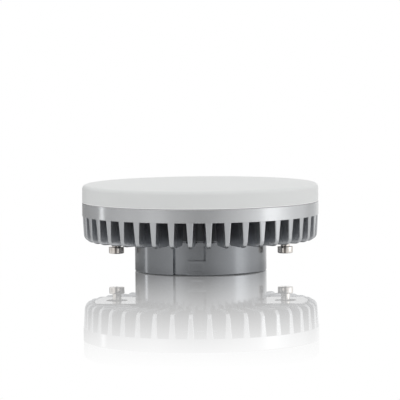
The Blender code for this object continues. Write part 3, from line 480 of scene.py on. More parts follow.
def press_panel(shape, first):
    """Presses the shallow panel into the lug beside the slot's entry."""
    pitch = 360.0 / BOSS_STEPS
    low = first + (SLOT_ENTRY_COLUMNS + 1) * pitch
    high = low + (SLOT_RUN_COLUMNS - 2) * pitch
    top, bottom = SHELF_Z - PANEL_MARGIN, BOSS_EDGE + PANEL_MARGIN

    def on_lug(face):
        middle = face.calc_center_median()
        turn = (math.degrees(math.atan2(middle.x, -middle.y)) - low) % 360.0
        round_wall = all(abs(v.co.xy.length - BOSS_RADIUS) < NEAR for v in face.verts)
        return round_wall and turn < high - low and bottom < middle.z < top

    bmesh.ops.inset_region(
        shape,
        faces=[face for face in shape.faces if on_lug(face)],
        thickness=PANEL_SLOPE,
        depth=-PANEL_DEPTH,
        use_even_offset=True,
    )


boss = turned(
    [
        (0.0, CUP_FLOOR_Z),
        (LEDGE_RADIUS, CUP_FLOOR_Z),
        (LEDGE_RADIUS, LEDGE_Z),
        (CUP_RADIUS, LEDGE_Z),
        (CUP_RADIUS, CUP_TOP_Z),
        (NECK_RADIUS, CUP_TOP_Z),
        (NECK_RADIUS, GROOVE_Z),
        (GROOVE_RADIUS, GROOVE_Z),
        (GROOVE_RADIUS, LIP_Z),
        (BOSS_RADIUS, LIP_Z),
        (BOSS_RADIUS, SLOT_TOP_Z),
        (BOSS_RADIUS, SHELF_Z),
        (BOSS_RADIUS, SHELF_Z - PANEL_MARGIN),
        (BOSS_RADIUS, BOSS_EDGE + PANEL_MARGIN),
        (BOSS_RADIUS, 0.0),
        (SLOT_RADIUS, 0.0),
        (FOOT_RADIUS, 0.0),
        (FOOT_RADIUS - DISH_DEPTH, DISH_DEPTH),
        (0.0, DISH_DEPTH),
    ],
    BOSS_STEPS,
    SLOT_START - 90.0,
)
SLOT_ANGLES = (SLOT_START, SLOT_START + 180.0)
for angle in SLOT_ANGLES:
    sink_slot(boss, angle)
entry_feet = [edge for edge in ring(boss, SLOT_RADIUS, 0.0) if bend(edge) > CORNER_ANGLE]
soften(boss, entry_feet, ENTRY_EDGE)
soften(boss, ring(boss, BOSS_RADIUS, 0.0), BOSS_EDGE, BOSS_EDGE_STEPS)
rim_of_slots = [
    edge
    for edge in boss.edges
    if bend(edge) > CORNER_ANGLE
    and all(v.co.xy.length > SLOT_RADIUS + NEAR and v.co.z < SEAT_Z for v in edge.verts)
]
soften(boss, rim_of_slots, SLOT_EDGE)
soften(boss, ring(boss, BOSS_RADIUS, LIP_Z), SLOT_EDGE)
for angle in SLOT_ANGLES:
    press_panel(boss, angle)

base_cap = piece("base_cap_moulding", boss)

ears = bmesh.new()
reach = math.degrees(math.asin(EAR_HALF_WIDTH / EAR_END))
root = math.degrees(math.asin(EAR_HALF_WIDTH / JOIN_RADIUS))
ear_end = arc(EAR_END, -reach, reach, EAR_STEPS)
raised(ears, ear_end + arc(JOIN_RADIUS, root, -root, EAR_STEPS // 2), SEAT_Z, EAR_TOP_Z)
outer_edges = [
    edge
    for edge in ears.edges
    if all(v.co.xy.length > BOSS_RADIUS + OVERRUN for v in edge.verts)
]
soften(ears, outer_edges, EAR_EDGE)
carve(base_cap, piece("ears", both_sides(ears)), "UNION")

channels = bmesh.new()
root = math.degrees(math.asin(CHANNEL_HALF_WIDTH / JOIN_RADIUS))
channel_plan = channel_end(CHANNEL_CORNER, CHANNEL_CORNER_STEPS)
channel_plan += arc(JOIN_RADIUS, root, -root, CHANNEL_CORNER_STEPS)
raised(channels, channel_plan, SEAT_Z + EAR_EDGE * 2, CHANNEL_TOP_Z)
carve(base_cap, piece("channels", both_sides(channels)), "UNION")

hollow = bmesh.new()
hollow_end = channel_end(CHANNEL_CORNER - CHANNEL_WALL, HOLLOW_CORNER_STEPS)
raised(hollow, and_opposite(hollow_end), EAR_TOP_Z, CUP_TOP_Z + OVERRUN)
carve(base_cap, piece("hollow", hollow))

seats = turned(
    [
        (0.0, EAR_TOP_Z + OVERRUN),
        (PIN_HOLE, EAR_TOP_Z + OVERRUN),
        (PIN_HOLE, SEAT_Z + PIN_DISH_DEPTH),
        (PIN_DISH, SEAT_Z + PIN_DISH_DEPTH),
        (PIN_DISH, SEAT_Z - OVERRUN),
        (0.0, SEAT_Z - OVERRUN),
    ],
    PIN_HOLE_STEPS,
)
bmesh.ops.translate(seats, verts=seats.verts[:], vec=(PIN_AXIS, 0.0, 0.0))
carve(base_cap, piece("seats", both_sides(seats)))

pillars = bmesh.new()
for angle in PILLAR_ANGLES:
    pillar = turned(
        [
            (PILLAR_BORE, CHANNEL_TOP_Z),
            (PILLAR_RADIUS, CHANNEL_TOP_Z),
            (PILLAR_RADIUS, CUP_FLOOR_Z - OVERRUN / 2),
            (PILLAR_BORE, CUP_FLOOR_Z - OVERRUN / 2),
        ],
        PILLAR_STEPS,
    )
    turn = math.radians(angle)
    bmesh.ops.translate(
        pillar,
        verts=pillar.verts[:],
        vec=(PILLAR_AXIS * math.cos(turn), PILLAR_AXIS * math.sin(turn), 0.0),
    )
    tube = bpy.data.meshes.new("pillar")
    pillar.to_mesh(tube)
    pillar.free()
    pillars.from_mesh(tube)
    bpy.data.meshes.remove(tube)
carve(base_cap, piece("pillars", pillars), "UNION")

plastic = Finish("silver_grey_plastic", Metallic=0.8, IOR=1.5)
speckle = plastic.noise(0.00022, 3.0)
cloud = plastic.noise(0.006, 2.0)
shade = plastic.spread(speckle * 0.7 + cloud * 0.3)
grey = plastic.mix(shade, *SPRAYED_GREYS)
x, y, z = plastic.axes()
# Above the lip the neck is painted dark: painted shade for the shadow that the fins cast on
# it.
painted_neck_shade = plastic.span(z, LIP_Z, GROOVE_Z)
base_cap.data.materials.append(
    plastic.done(
        Base_Color=plastic.mix(painted_neck_shade, grey, PAINTED_SHADE_PLASTIC),
        Roughness=plastic.spread(speckle, 0.12, 0.16) + painted_neck_shade * 0.2,
        Normal=plastic.relief(speckle, 0.000003),
    )
)
keep_flat(base_cap)
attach(base_cap, "root")
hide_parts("base_cap")


# Contact pins. Each is turned from brass rod: a mushroom head for the holder's keyhole
# slot, a shank through the ear, and a tail that is riveted over the solder tag. The
# nickel plating has a dark streak front and back that is a painted reflection.
PIN_STEPS = 64
PIN_HEAD_BOTTOM = 0.00525
PIN_HEAD_TOP = 0.00735
PIN_HEAD_RADIUS = 0.0024
PIN_HEAD_EDGE = 0.0003
PIN_SHANK_RADIUS = 0.00142
PIN_TAIL_RADIUS = 0.0011
PIN_RIVET_RADIUS = 0.0018
PIN_RIVET_FLAT = 0.6
PIN_RIVET_Z = 0.01265
PIN_RIVET_TOP = 0.01325
PIN_RIVET_EDGE = 0.0001
PIN_EDGE = 0.00015
SHANK_EDGE = 0.00012
# The painted reflection: a dark streak down the front and back of each pin.
PAINTED_STREAK_HALF = 0.0001
PAINTED_STREAK_FADE = 0.0004
PAINTED_REFLECTION_NICKEL = (0.21, 0.19, 0.175)
BRIGHT_NICKELS = (0.72, 0.675, 0.63), (0.80, 0.765, 0.73)

nickel = Finish("nickel_plate", Metallic=1.0)
lathe = nickel.noise(0.00012, 2.0, (0.02, 0.02, 1.0))
wear = nickel.noise(0.0012, 3.0)
tone = nickel.span(wear, 0.35, 0.7)
out, across, z = nickel.repeated(2, PIN_AXIS)
# A thin streak facing front and back is painted dark: a painted reflection.
painted_reflection_streak = 1.0 - nickel.span(abs(out), PAINTED_STREAK_HALF, PAINTED_STREAK_HALF + PAINTED_STREAK_FADE)
bright = nickel.mix(tone, *BRIGHT_NICKELS)
nickel_plate = nickel.done(
    Base_Color=nickel.mix(painted_reflection_streak, bright, PAINTED_REFLECTION_NICKEL),
    Roughness=nickel.spread(wear * 0.5 + lathe * 0.5, 0.04, 0.1),
    Normal=nickel.relief(lathe, 0.0000015),
)
for side, name in ((-1, "left"), (1, "right")):
    pin = turned(
        [
            (0.0, PIN_RIVET_TOP),
            (PIN_RIVET_RADIUS * PIN_RIVET_FLAT, PIN_RIVET_TOP, PIN_EDGE),
            (PIN_RIVET_RADIUS, PIN_RIVET_Z, PIN_RIVET_EDGE),
            (PIN_TAIL_RADIUS, PIN_RIVET_Z),
            (PIN_TAIL_RADIUS, EAR_TOP_Z),
            (PIN_SHANK_RADIUS, EAR_TOP_Z),
            (PIN_SHANK_RADIUS, PIN_HEAD_TOP, SHANK_EDGE),
            (PIN_HEAD_RADIUS, PIN_HEAD_TOP, PIN_EDGE),
            (PIN_HEAD_RADIUS, PIN_HEAD_BOTTOM, PIN_HEAD_EDGE),
            (0.0, PIN_HEAD_BOTTOM),
        ],
        PIN_STEPS,
    )
    bmesh.ops.translate(pin, verts=pin.verts[:], vec=(side * PIN_AXIS, 0.0, 0.0))
    turned_pin = piece(f"turned_pin_{name}", pin, nickel_plate)
    keep_flat(turned_pin)
    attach(turned_pin, "root")
    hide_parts(f"contact_pin_{name}")


# Solder tags. Stamped from brass strip and tinned. Each is held on its ear by the
# riveted tail of the pin, and its tongue takes the line wire.
def dress(material, *names):
    """Gives a finish to pieces that keep the shape they have in the solid model."""
    for name in names:
        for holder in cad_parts[name].material_slots:
            holder.material = material


tinned = Finish("tinned_brass", Metallic=1.0)
rolled = tinned.noise(0.00012, 3.0, (0.05, 1.0, 1.0))
dulled = tinned.span(tinned.noise(0.0011, 3.0), 0.35, 0.65)
tin = tinned.done(
    Base_Color=tinned.mix(dulled, (0.66, 0.65, 0.62), (0.70, 0.65, 0.52)),
    Roughness=tinned.spread(rolled, 0.22, 0.42),
    Normal=tinned.relief(rolled, 0.000004),
)
dress(tin, "solder_tag_left", "solder_tag_right")


# Driver board. Woven glass and epoxy, punched round with notches for the pillars. The
# green lacquer lies over the copper, which shows through it, and the cut edge is bare.
BOARD_BOTTOM_Z = 0.0049
BOARD_TOP_Z = 0.0065
LACQUER = 0.00008
TRACK_LENGTH = 0.0038
TRACK_WIDTH = 0.0021
TRACK_GAP = 0.00014
GLASS_YARN = 0.0005

circuit = Finish("green_circuit_board", IOR=1.5)
x, y, z = circuit.axes()
cut_off = circuit.node(
    "ShaderNodeTexBrick",
    {"offset": 0.4},
    Vector=circuit.place,
    Scale=1.0,
    Mortar_Size=TRACK_GAP,
    Mortar_Smooth=0.3,
    Brick_Width=TRACK_LENGTH,
    Row_Height=TRACK_WIDTH,
)["Fac"]
warp = circuit.math("SINE", x * (math.tau / GLASS_YARN))
weft = circuit.math("SINE", y * (math.tau / GLASS_YARN))
weave = warp * weft * 0.5 + 0.5
middle = (BOARD_BOTTOM_Z + BOARD_TOP_Z) / 2
half = (BOARD_TOP_Z - BOARD_BOTTOM_Z) / 2
face = circuit.span(abs(z - middle), half - LACQUER * 2, half - LACQUER)
glass = circuit.mix(weave, (0.34, 0.36, 0.20), (0.42, 0.43, 0.26))
green = circuit.mix(cut_off, (0.035, 0.20, 0.075), (0.012, 0.085, 0.032))
gloss = circuit.spread(circuit.noise(0.0015, 2.0), 0.28, 0.4)
dress(
    circuit.done(
        Base_Color=circuit.mix(face, glass, green),
        Roughness=gloss + (1.0 - face) * 0.3,
        Normal=circuit.relief((1.0 - cut_off) * 0.8 + weave * 0.2, 0.00002),
    ),
    "driver_board",
)


# Capacitors. Two aluminium cans in shrunk dark sleeves, with a pale stripe down the
# negative side and a scored vent in the bare top, and one film capacitor that is
# potted in a yellow moulded box.
STRIPE_HALF_TURN = 0.32
STRIPE_FADE = 0.03
SLEEVE_LIP = 0.82
BARE_TOP = 0.0004
VENT_WIDTH = 0.00022
POTTING = 0.0005

for name in ("bulk_capacitor", "output_capacitor"):
    low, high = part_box(name)
    radius = (high[0] - low[0]) / 2
    can = Finish(f"{name}_sleeve", IOR=1.5)
    x, y, z = can.axes()
    out, across = x - (low[0] + high[0]) / 2, y - (low[1] + high[1]) / 2
    turn = can.math("ARCTAN2", across, out)
    stripe = 1.0 - can.span(abs(turn), STRIPE_HALF_TURN, STRIPE_HALF_TURN + STRIPE_FADE)
    reach = (out ** 2 + across ** 2) ** 0.5
    bare = 1.0 - can.span(reach, radius * SLEEVE_LIP, radius * SLEEVE_LIP + LACQUER)
    bare = bare * can.span(z, high[2] - BARE_TOP, high[2] - BARE_TOP * 0.75)
    arms = can.math("MINIMUM", abs(out), abs(across))
    vent = can.span(arms, 0.0, VENT_WIDTH)
    film = can.noise(0.0009, 2.0)
    sleeve = can.mix(stripe, (0.018, 0.024, 0.045), (0.34, 0.36, 0.40))
    dress(
        can.done(
            Base_Color=can.mix(bare, sleeve, (0.72, 0.73, 0.74)),
            Metallic=bare,
            Roughness=can.spread(film, 0.26, 0.38),
            Normal=can.relief(vent * bare + film * 0.15, 0.00006),
        ),
        name,
    )

low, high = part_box("filter_capacitor")
boxed = Finish("yellow_capacitor_box", IOR=1.5)
x, y, z = boxed.axes()
grain = boxed.noise(0.00012, 3.0)
case = boxed.span(z, low[2] + POTTING, low[2] + POTTING + LACQUER)
yellow = boxed.mix(grain, (0.70, 0.47, 0.05), (0.78, 0.55, 0.08))
dress(
    boxed.done(
        Base_Color=boxed.mix(case, (0.42, 0.30, 0.09), yellow),
        Roughness=boxed.spread(grain, 0.38, 0.5),
        Normal=boxed.relief(grain, 0.000008),
    ),
    "filter_capacitor",
)


# Inductor and transformer. Enamelled copper wound on a ferrite drum, and two glued E
# cores whose middle legs carry a winding wrapped in yellow polyester tape.
FLANGE_SHARE = 1 / 6
WIRE_PITCH = 0.00036
GLUE_LINE = 0.00005
TAPE_STEP = 0.0011

low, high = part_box("filter_inductor")
flange = (high[2] - low[2]) * FLANGE_SHARE
drum = Finish("copper_winding_on_ferrite", IOR=1.5)
x, y, z = drum.axes()
wound = drum.span(z, low[2] + flange, low[2] + flange + LACQUER)
wound = wound * (1.0 - drum.span(z, high[2] - flange - LACQUER, high[2] - flange))
turns = z * (math.tau / WIRE_PITCH)
turns = drum.math("SINE", turns) * 0.5 + 0.5
sintered = drum.noise(0.0002, 4.0)
black = drum.mix(sintered, (0.035, 0.035, 0.04), (0.075, 0.075, 0.08))
# The enamel is painted darker in the grooves between turns and lighter on their crests:
# painted shade and painted highlight.
enamel_with_painted_shade = drum.mix(turns, (0.33, 0.10, 0.035), (0.62, 0.24, 0.09))
dress(
    drum.done(
        Base_Color=drum.mix(wound, black, enamel_with_painted_shade),
        Metallic=wound * 0.9,
        Roughness=drum.spread(sintered, 0.5, 0.62) - wound * 0.25,
        Normal=drum.relief(turns * wound + sintered * 0.1, 0.00012),
    ),
    "filter_inductor",
)

low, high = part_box("transformer_core")
ferrite = Finish("ferrite", IOR=1.6)
x, y, z = ferrite.axes()
sintered = ferrite.noise(0.0002, 4.0)
joint = (low[2] + high[2]) / 2
glue = 1.0 - ferrite.span(abs(z - joint), GLUE_LINE, GLUE_LINE * 2)
black = ferrite.mix(sintered, (0.035, 0.035, 0.04), (0.08, 0.08, 0.085))
dress(
    ferrite.done(
        Base_Color=ferrite.mix(glue, black, (0.16, 0.10, 0.05)),
        Roughness=ferrite.spread(sintered, 0.48, 0.66),
        Normal=ferrite.relief(sintered, 0.00001),
    ),
    "transformer_core",
)

tape = Finish("yellow_winding_tape", IOR=1.5)
x, y, z = tape.axes()
steps = z / TAPE_STEP
overlap = tape.math("FRACT", steps)
crease = tape.noise(0.0014, 3.0, (1.0, 1.0, 0.3))
shade = tape.span(crease * 0.6 + overlap * 0.4, 0.3, 0.75)
dress(
    tape.done(
        Base_Color=tape.mix(shade, (0.66, 0.45, 0.05), (0.82, 0.63, 0.12)),
        Roughness=tape.spread(crease, 0.25, 0.42),
        Normal=tape.relief(overlap * 0.6 + crease * 0.4, 0.00005),
    ),
    "transformer_winding",
)


# Fuse resistor and varistor. A wound ceramic rod in pale green cement with pressed-on
# end caps and colour rings, and a zinc-oxide disc dipped in blue epoxy on tinned legs.
CAP_SHARE = 1 / 6
CAP_FADE = 0.005
RING_HALF = 0.028
# Each ring's place as a share of the rod's length, and its paint.
RINGS = (
    (0.29, (0.10, 0.035, 0.01)),
    (0.41, (0.012, 0.012, 0.012)),
    (0.53, (0.012, 0.012, 0.012)),
    (0.69, (0.45, 0.31, 0.08)),
)
LEG_HEIGHT = 0.0010
TINNED = (0.68, 0.67, 0.64)

low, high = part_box("fuse_resistor")
rod = Finish("green_cement_resistor", IOR=1.5)
x, y, z = rod.axes()
along = (y - low[1]) / (high[1] - low[1])
cement = rod.noise(0.0003, 3.0)
colour = rod.mix(cement, (0.20, 0.32, 0.24), (0.27, 0.40, 0.30))
for place, paint in RINGS:
    ringed = 1.0 - rod.span(abs(along - place), RING_HALF, RING_HALF * 1.2)
    colour = rod.mix(ringed, colour, paint)
cap_start = 0.5 - CAP_SHARE
capped = rod.span(abs(along - 0.5), cap_start, cap_start + CAP_FADE)
dress(
    rod.done(
        Base_Color=rod.mix(capped, colour, TINNED),
        Metallic=capped,
        Roughness=rod.spread(cement, 0.42, 0.58) - capped * 0.15,
        Normal=rod.relief(cement, 0.00002),
    ),
    "fuse_resistor",
)

low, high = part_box("varistor")
dipped = Finish("blue_dipped_epoxy", IOR=1.5)
x, y, z = dipped.axes()
sag = dipped.noise(0.0016, 2.0)
pitted = dipped.noise(0.00025, 3.0)
leg = 1.0 - dipped.span(z, low[2] + LEG_HEIGHT - LACQUER, low[2] + LEG_HEIGHT + LACQUER)
blue = dipped.mix(sag, (0.02, 0.085, 0.33), (0.04, 0.13, 0.44))
dress(
    dipped.done(
        Base_Color=dipped.mix(leg, blue, TINNED),
        Metallic=leg,
        Roughness=dipped.spread(pitted, 0.26, 0.4),
        Normal=dipped.relief(sag * 0.8 + pitted * 0.2, 0.0001),
    ),
    "varistor",
)


# Packages under the driver board. Black epoxy moulded round tinned copper leads, blasted
# matt, and soldered flat. The leads leave two sides of each body at half its height.
# The axis that the leads leave along, 0 for x or 1 for y, and half the body's width.
BODIES = {
    "bridge_rectifier": (1, 0.00195),
    "driver_chip": (1, 0.00195),
    "output_diode": (0, 0.00215),
}

for name, (axis, half) in BODIES.items():
    low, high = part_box(name)
    package = Finish(f"{name}_epoxy", IOR=1.55)
    off_middle = abs(package.axes()[axis] - (low[axis] + high[axis]) / 2)
    lead = package.span(off_middle, half, half + LACQUER / 2)
    blast = package.noise(0.00006, 2.0)
    flow = package.noise(0.002, 2.0)
    black = package.mix(flow * 0.5 + blast * 0.5, (0.018, 0.018, 0.019), (0.045, 0.045, 0.047))
    dress(
        package.done(
            Base_Color=package.mix(lead, black, (0.70, 0.69, 0.67)),
            Metallic=lead,
            Roughness=package.spread(blast, 0.5, 0.64) - lead * 0.25,
            Normal=package.relief(blast, 0.000006),
        ),
        name,
    )


# Wires. Stranded copper in extruded PVC, stripped and tinned where it is soldered to
# the driver board. White and brown bring in the mains, red and black feed the LEDs.
TINNED_TOP_Z = 0.0076
INSULATION = {
    "line_wire_left": ("white_pvc", (0.66, 0.66, 0.63), (0.76, 0.76, 0.73)),
    "line_wire_right": ("brown_pvc", (0.085, 0.035, 0.018), (0.12, 0.052, 0.026)),
    "output_wire_plus": ("red_pvc", (0.42, 0.016, 0.014), (0.54, 0.028, 0.022)),
    "output_wire_minus": ("black_pvc", (0.014, 0.014, 0.015), (0.028, 0.028, 0.03)),
}

for name, (title, dark, light) in INSULATION.items():
    pvc = Finish(title, IOR=1.5)
    x, y, z = pvc.axes()
    bare = 1.0 - pvc.span(z, TINNED_TOP_Z - LACQUER, TINNED_TOP_Z)
    drawn = pvc.noise(0.0004, 2.0, (1.0, 1.0, 0.15))
    dress(
        pvc.done(
            Base_Color=pvc.mix(bare, pvc.mix(drawn, dark, light), TINNED),
            Metallic=bare,
            Roughness=pvc.spread(drawn, 0.36, 0.5),
            Normal=pvc.relief(drawn, 0.00001),
        ),
        name,
    )


# Insulating sheet. Polyester film die-cut to the base's outline, milky from its
# thickness, with the fine scuffs of handling. It keeps the live parts off the metal.
milky = Finish("polyester_film", IOR=1.6)
haze = milky.noise(0.007, 2.0)
scuff = milky.noise(0.0009, 5.0, (1.0, 0.06, 1.0))
scuffed = milky.span(scuff, 0.62, 0.72)
dress(
    milky.done(
        Base_Color=milky.mix(haze, (0.66, 0.70, 0.73), (0.74, 0.77, 0.79)),
        Roughness=milky.spread(haze, 0.16, 0.26) + scuffed * 0.25,
        Normal=milky.relief(scuffed, 0.000004),
    ),
    "insulating_sheet",
)


# Heat sink. One aluminium die-casting with a silver lacquer: the plain rim band, the
# plate that carries the LED board, and forty fins below it. Their draft lets the
# casting leave its mould, and room is left in them for the ears and channels.
RIM_RADIUS = 0.0370
RIM_INNER = 0.0345
RIM_TOP_Z = 0.0216
RIM_EDGE = 0.00012
PLATE_Z = 0.0175
PLATE_TOP_Z = 0.01895
SNAP_Z = 0.0209
SNAP_HALF = 0.00045
SNAP_RADIUS = 0.0349
FIN_COUNT = 40
FIN_COLUMNS = 5
FIN_PHASE = -86.65
FIN_INNER = 0.0250
FIN_OUTER = 0.03685
FIN_SLOPE = 0.00045
FIN_ROOT_HALF = 0.001125
FIN_TIP_HALF = 0.0006
FIN_CORNER = 0.0020
FIN_CORNER_STEPS = 6
FIN_INNER_CORNER = 0.0008
FIN_EDGE = 0.00035
FIN_EDGE_ANGLE = 50.0
FLAT_ANGLE = 1.0
CLEARANCE = 0.0003
RELIEF = 0.0002
WIRE_HOLE_AT = 0.0112
WIRE_HOLE = 0.0024
WIRE_HOLE_STEPS = 32
SCREW_HOLE = 0.00155
SCREW_HOLE_STEPS = 20
# The painted shade between the fins: how far out it reaches, and the share of silver left on
# the fins.
PAINTED_SHADE_DEPTH = 0.0315
UNSHADED_ON_FINS = 0.7
SPRAYED_SILVERS = (0.53, 0.54, 0.55), (0.59, 0.60, 0.61)
PAINTED_SHADE_CASTING = (0.42, 0.435, 0.46)


def flat_under(item):
    """Whether a face or an edge lies in the plate's underside."""
    return all(abs(v.co.z - PLATE_Z) < NEAR for v in item.verts)


sink = bmesh.new()
pitch = math.tau / FIN_COUNT
section = [
    (0.0, PLATE_TOP_Z),
    (RIM_INNER, PLATE_TOP_Z),
    (RIM_INNER, SNAP_Z - SNAP_HALF),
    (SNAP_RADIUS, SNAP_Z),
    (RIM_INNER, SNAP_Z + SNAP_HALF),
    (RIM_INNER, RIM_TOP_Z),
    (RIM_RADIUS, RIM_TOP_Z),
    (RIM_RADIUS, PLATE_Z),
    (FIN_INNER - OVERRUN, PLATE_Z),
    (0.0, PLATE_Z),
]
start = Matrix.Rotation(-pitch / 2, 3, "Z")
points = [sink.verts.new(start @ Vector((r, 0.0, z))) for r, z in section]
edges = [sink.edges.new(pair) for pair in zip(points, points[1:])]
bmesh.ops.spin(
    sink,
    geom=points + edges,
    cent=(0.0, 0.0, 0.0),
    axis=(0.0, 0.0, 1.0),
    angle=pitch,
    steps=FIN_COLUMNS,
)
bmesh.ops.remove_doubles(sink, verts=sink.verts[:], dist=WELD)
bmesh.ops.recalc_face_normals(sink, faces=sink.faces[:])
if sum(face.normal.z * face.calc_area() for face in sink.faces if flat_under(face)) > 0:
    bmesh.ops.reverse_faces(sink, faces=sink.faces[:])
for place, normal in (
    ((0.0, FIN_ROOT_HALF, 0.0), (0.0, 1.0, 0.0)),
    ((0.0, -FIN_ROOT_HALF, 0.0), (0.0, 1.0, 0.0)),
    ((FIN_INNER, 0.0, 0.0), (1.0, 0.0, 0.0)),
    ((FIN_OUTER, 0.0, 0.0), (1.0, 0.0, 0.0)),
):
    under = [
        face
        for face in sink.faces
        if flat_under(face) and max(v.co.x for v in face.verts) > FIN_INNER
    ]
    parts = set(under)
    for face in under:
        parts.update(face.edges)
        parts.update(face.verts)
    bmesh.ops.bisect_plane(sink, geom=list(parts), dist=WELD, plane_co=place, plane_no=normal)


def in_footprint(face):
    middle = face.calc_center_median()
    inside = FIN_INNER < middle.x < FIN_OUTER and abs(middle.y) < FIN_ROOT_HALF
    return flat_under(face) and inside


footprint = [face for face in sink.faces if in_footprint(face)]
drawn = bmesh.ops.extrude_face_region(sink, geom=footprint)["geom"]
bmesh.ops.delete(sink, geom=footprint, context="FACES")
for vert in drawn:
    if isinstance(vert, bmesh.types.BMVert):
        share = (vert.co.x - FIN_INNER) / (FIN_OUTER - FIN_INNER)
        vert.co.x -= FIN_SLOPE * share
        vert.co.y *= FIN_TIP_HALF / FIN_ROOT_HALF
        vert.co.z = SEAT_Z

tip = [face for face in sink.faces if all(abs(v.co.z - SEAT_Z) < NEAR for v in face.verts)]
bmesh.ops.dissolve_faces(sink, faces=tip)
flat_edges = [
    edge
    for edge in sink.edges
    if edge.is_manifold
    and bend(edge) < FLAT_ANGLE
    and abs(edge.verts[0].co.z - edge.verts[1].co.z) > (PLATE_Z - SEAT_Z) / 2
    and all(v.co.xy.length < RIM_RADIUS - NEAR and v.co.z < PLATE_Z + NEAR for v in edge.verts)
]
bmesh.ops.dissolve_edges(sink, edges=flat_edges, use_verts=True)


def tip_edges(x):
    """The fin tip's short edges across its thickness, at one of its two ends."""
    return [
        edge
        for edge in sink.edges
        if all(abs(v.co.z - SEAT_Z) < NEAR and abs(v.co.x - x) < NEAR for v in edge.verts)
    ]


soften(sink, tip_edges(FIN_OUTER - FIN_SLOPE), FIN_CORNER, FIN_CORNER_STEPS)
soften(sink, tip_edges(FIN_INNER), FIN_INNER_CORNER)
fin_edges = [
    edge
    for edge in sink.edges
    if bend(edge) > FIN_EDGE_ANGLE and min(v.co.z for v in edge.verts) < PLATE_Z - NEAR
]
soften(sink, fin_edges, FIN_EDGE)
bmesh.ops.spin(
    sink,
    geom=sink.verts[:] + sink.edges[:] + sink.faces[:],
    cent=(0.0, 0.0, 0.0),
    axis=(0.0, 0.0, 1.0),
    angle=pitch * (FIN_COUNT - 1),
    steps=FIN_COUNT - 1,
    use_duplicate=True,
)
bmesh.ops.remove_doubles(sink, verts=sink.verts[:], dist=WELD)
bmesh.ops.rotate(
    sink,
    verts=sink.verts[:],
    cent=(0.0, 0.0, 0.0),
    matrix=Matrix.Rotation(math.radians(FIN_PHASE) + pitch / 2, 3, "Z"),
)
for z in (RIM_TOP_Z, PLATE_Z):
    soften(sink, ring(sink, RIM_RADIUS, z), RIM_EDGE)
heat_sink = piece("heat_sink_casting", sink)

ear_room = bmesh.new()
grown, far = EAR_HALF_WIDTH + CLEARANCE, EAR_END + CLEARANCE
reach = math.degrees(math.asin(grown / far))
plan = arc(far, -reach, reach, EAR_STEPS) + arc(far, 180 - reach, 180 + reach, EAR_STEPS)
raised(ear_room, plan, SEAT_Z - OVERRUN, EAR_TOP_Z + CLEARANCE)
carve(heat_sink, piece("ear_room", ear_room))

channel_room = bmesh.new()
room_end = channel_end(CHANNEL_CORNER + CLEARANCE, CHANNEL_CORNER_STEPS)
raised(channel_room, and_opposite(room_end), SEAT_Z, PLATE_Z + RELIEF)
carve(heat_sink, piece("channel_room", channel_room))

holes = bmesh.new()
spots = [(WIRE_HOLE_AT, 0.0, WIRE_HOLE, WIRE_HOLE_STEPS)]
for angle in PILLAR_ANGLES:
    x = PILLAR_AXIS * math.cos(math.radians(angle))
    y = PILLAR_AXIS * math.sin(math.radians(angle))
    spots.append((x, y, SCREW_HOLE, SCREW_HOLE_STEPS))
for x, y, radius, steps in spots:
    bmesh.ops.create_cone(
        holes,
        cap_ends=True,
        segments=steps,
        radius1=radius,
        radius2=radius,
        depth=PLATE_TOP_Z - PLATE_Z + 2 * OVERRUN,
        matrix=Matrix.Translation((x, y, (PLATE_TOP_Z + PLATE_Z) / 2)),
    )
carve(heat_sink, piece("holes", holes))

lacquer = Finish("silver_lacquer", Metallic=0.85, IOR=1.5)
flake = lacquer.noise(0.00018, 2.0)
peel = lacquer.noise(0.0011, 2.0)
cloud = lacquer.noise(0.009, 2.0)
shade = lacquer.spread(flake * 0.55 + cloud * 0.45)
silver = lacquer.mix(shade, *SPRAYED_SILVERS)
x, y, z = lacquer.axes()
# Deep between the fins the silver is painted darker, and on the fins it is painted partly
# darker: painted shade. The rim band and the plate keep the full silver.
unshaded = lacquer.span((x ** 2 + y ** 2) ** 0.5, PAINTED_SHADE_DEPTH, FIN_OUTER) * UNSHADED_ON_FINS
band = lacquer.span(z, PLATE_Z - RELIEF, PLATE_Z + RELIEF)
unshaded = lacquer.math("MAXIMUM", unshaded, band)
heat_sink.data.materials.append(
    lacquer.done(
        Base_Color=lacquer.mix(unshaded, PAINTED_SHADE_CASTING, silver),
        Roughness=lacquer.spread(flake, 0.13, 0.18) + (1.0 - unshaded) * 0.15,
        Normal=lacquer.relief(peel * 0.7 + flake * 0.3, 0.000005),
    )
)
keep_flat(heat_sink)
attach(heat_sink, "root")
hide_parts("heat_sink")


# Thermal pad. Silicone rubber filled with ceramic on a woven glass web, die-cut. It is
# pressed flat between the casting and the LED board and carries the heat across.
PAD_YARN = 0.0007

pad = Finish("grey_silicone_pad", IOR=1.45)
x, y, z = pad.axes()
warp = pad.math("SINE", x * (math.tau / PAD_YARN))
weft = pad.math("SINE", y * (math.tau / PAD_YARN))
weave = warp * weft * 0.5 + 0.5
filler = pad.noise(0.0002, 3.0)
dress(
    pad.done(
        Base_Color=pad.mix(weave * 0.5 + filler * 0.5, (0.25, 0.27, 0.30), (0.36, 0.38, 0.41)),
        Roughness=pad.spread(filler, 0.7, 0.86),
        Normal=pad.relief(weave, 0.00003),
    ),
    "thermal_pad",
)


# LED board. An aluminium disc with a white lacquered face. The copper under the lacquer
# is one broad pour to each LED, parted by narrow gaps, and it stands out a little.
LED_BOARD_TOP_Z = 0.02135
POUR_COUNT = 12
POUR_TURN = 15.0
POUR_GAP = 0.00022
POUR_EDGE = 0.0304

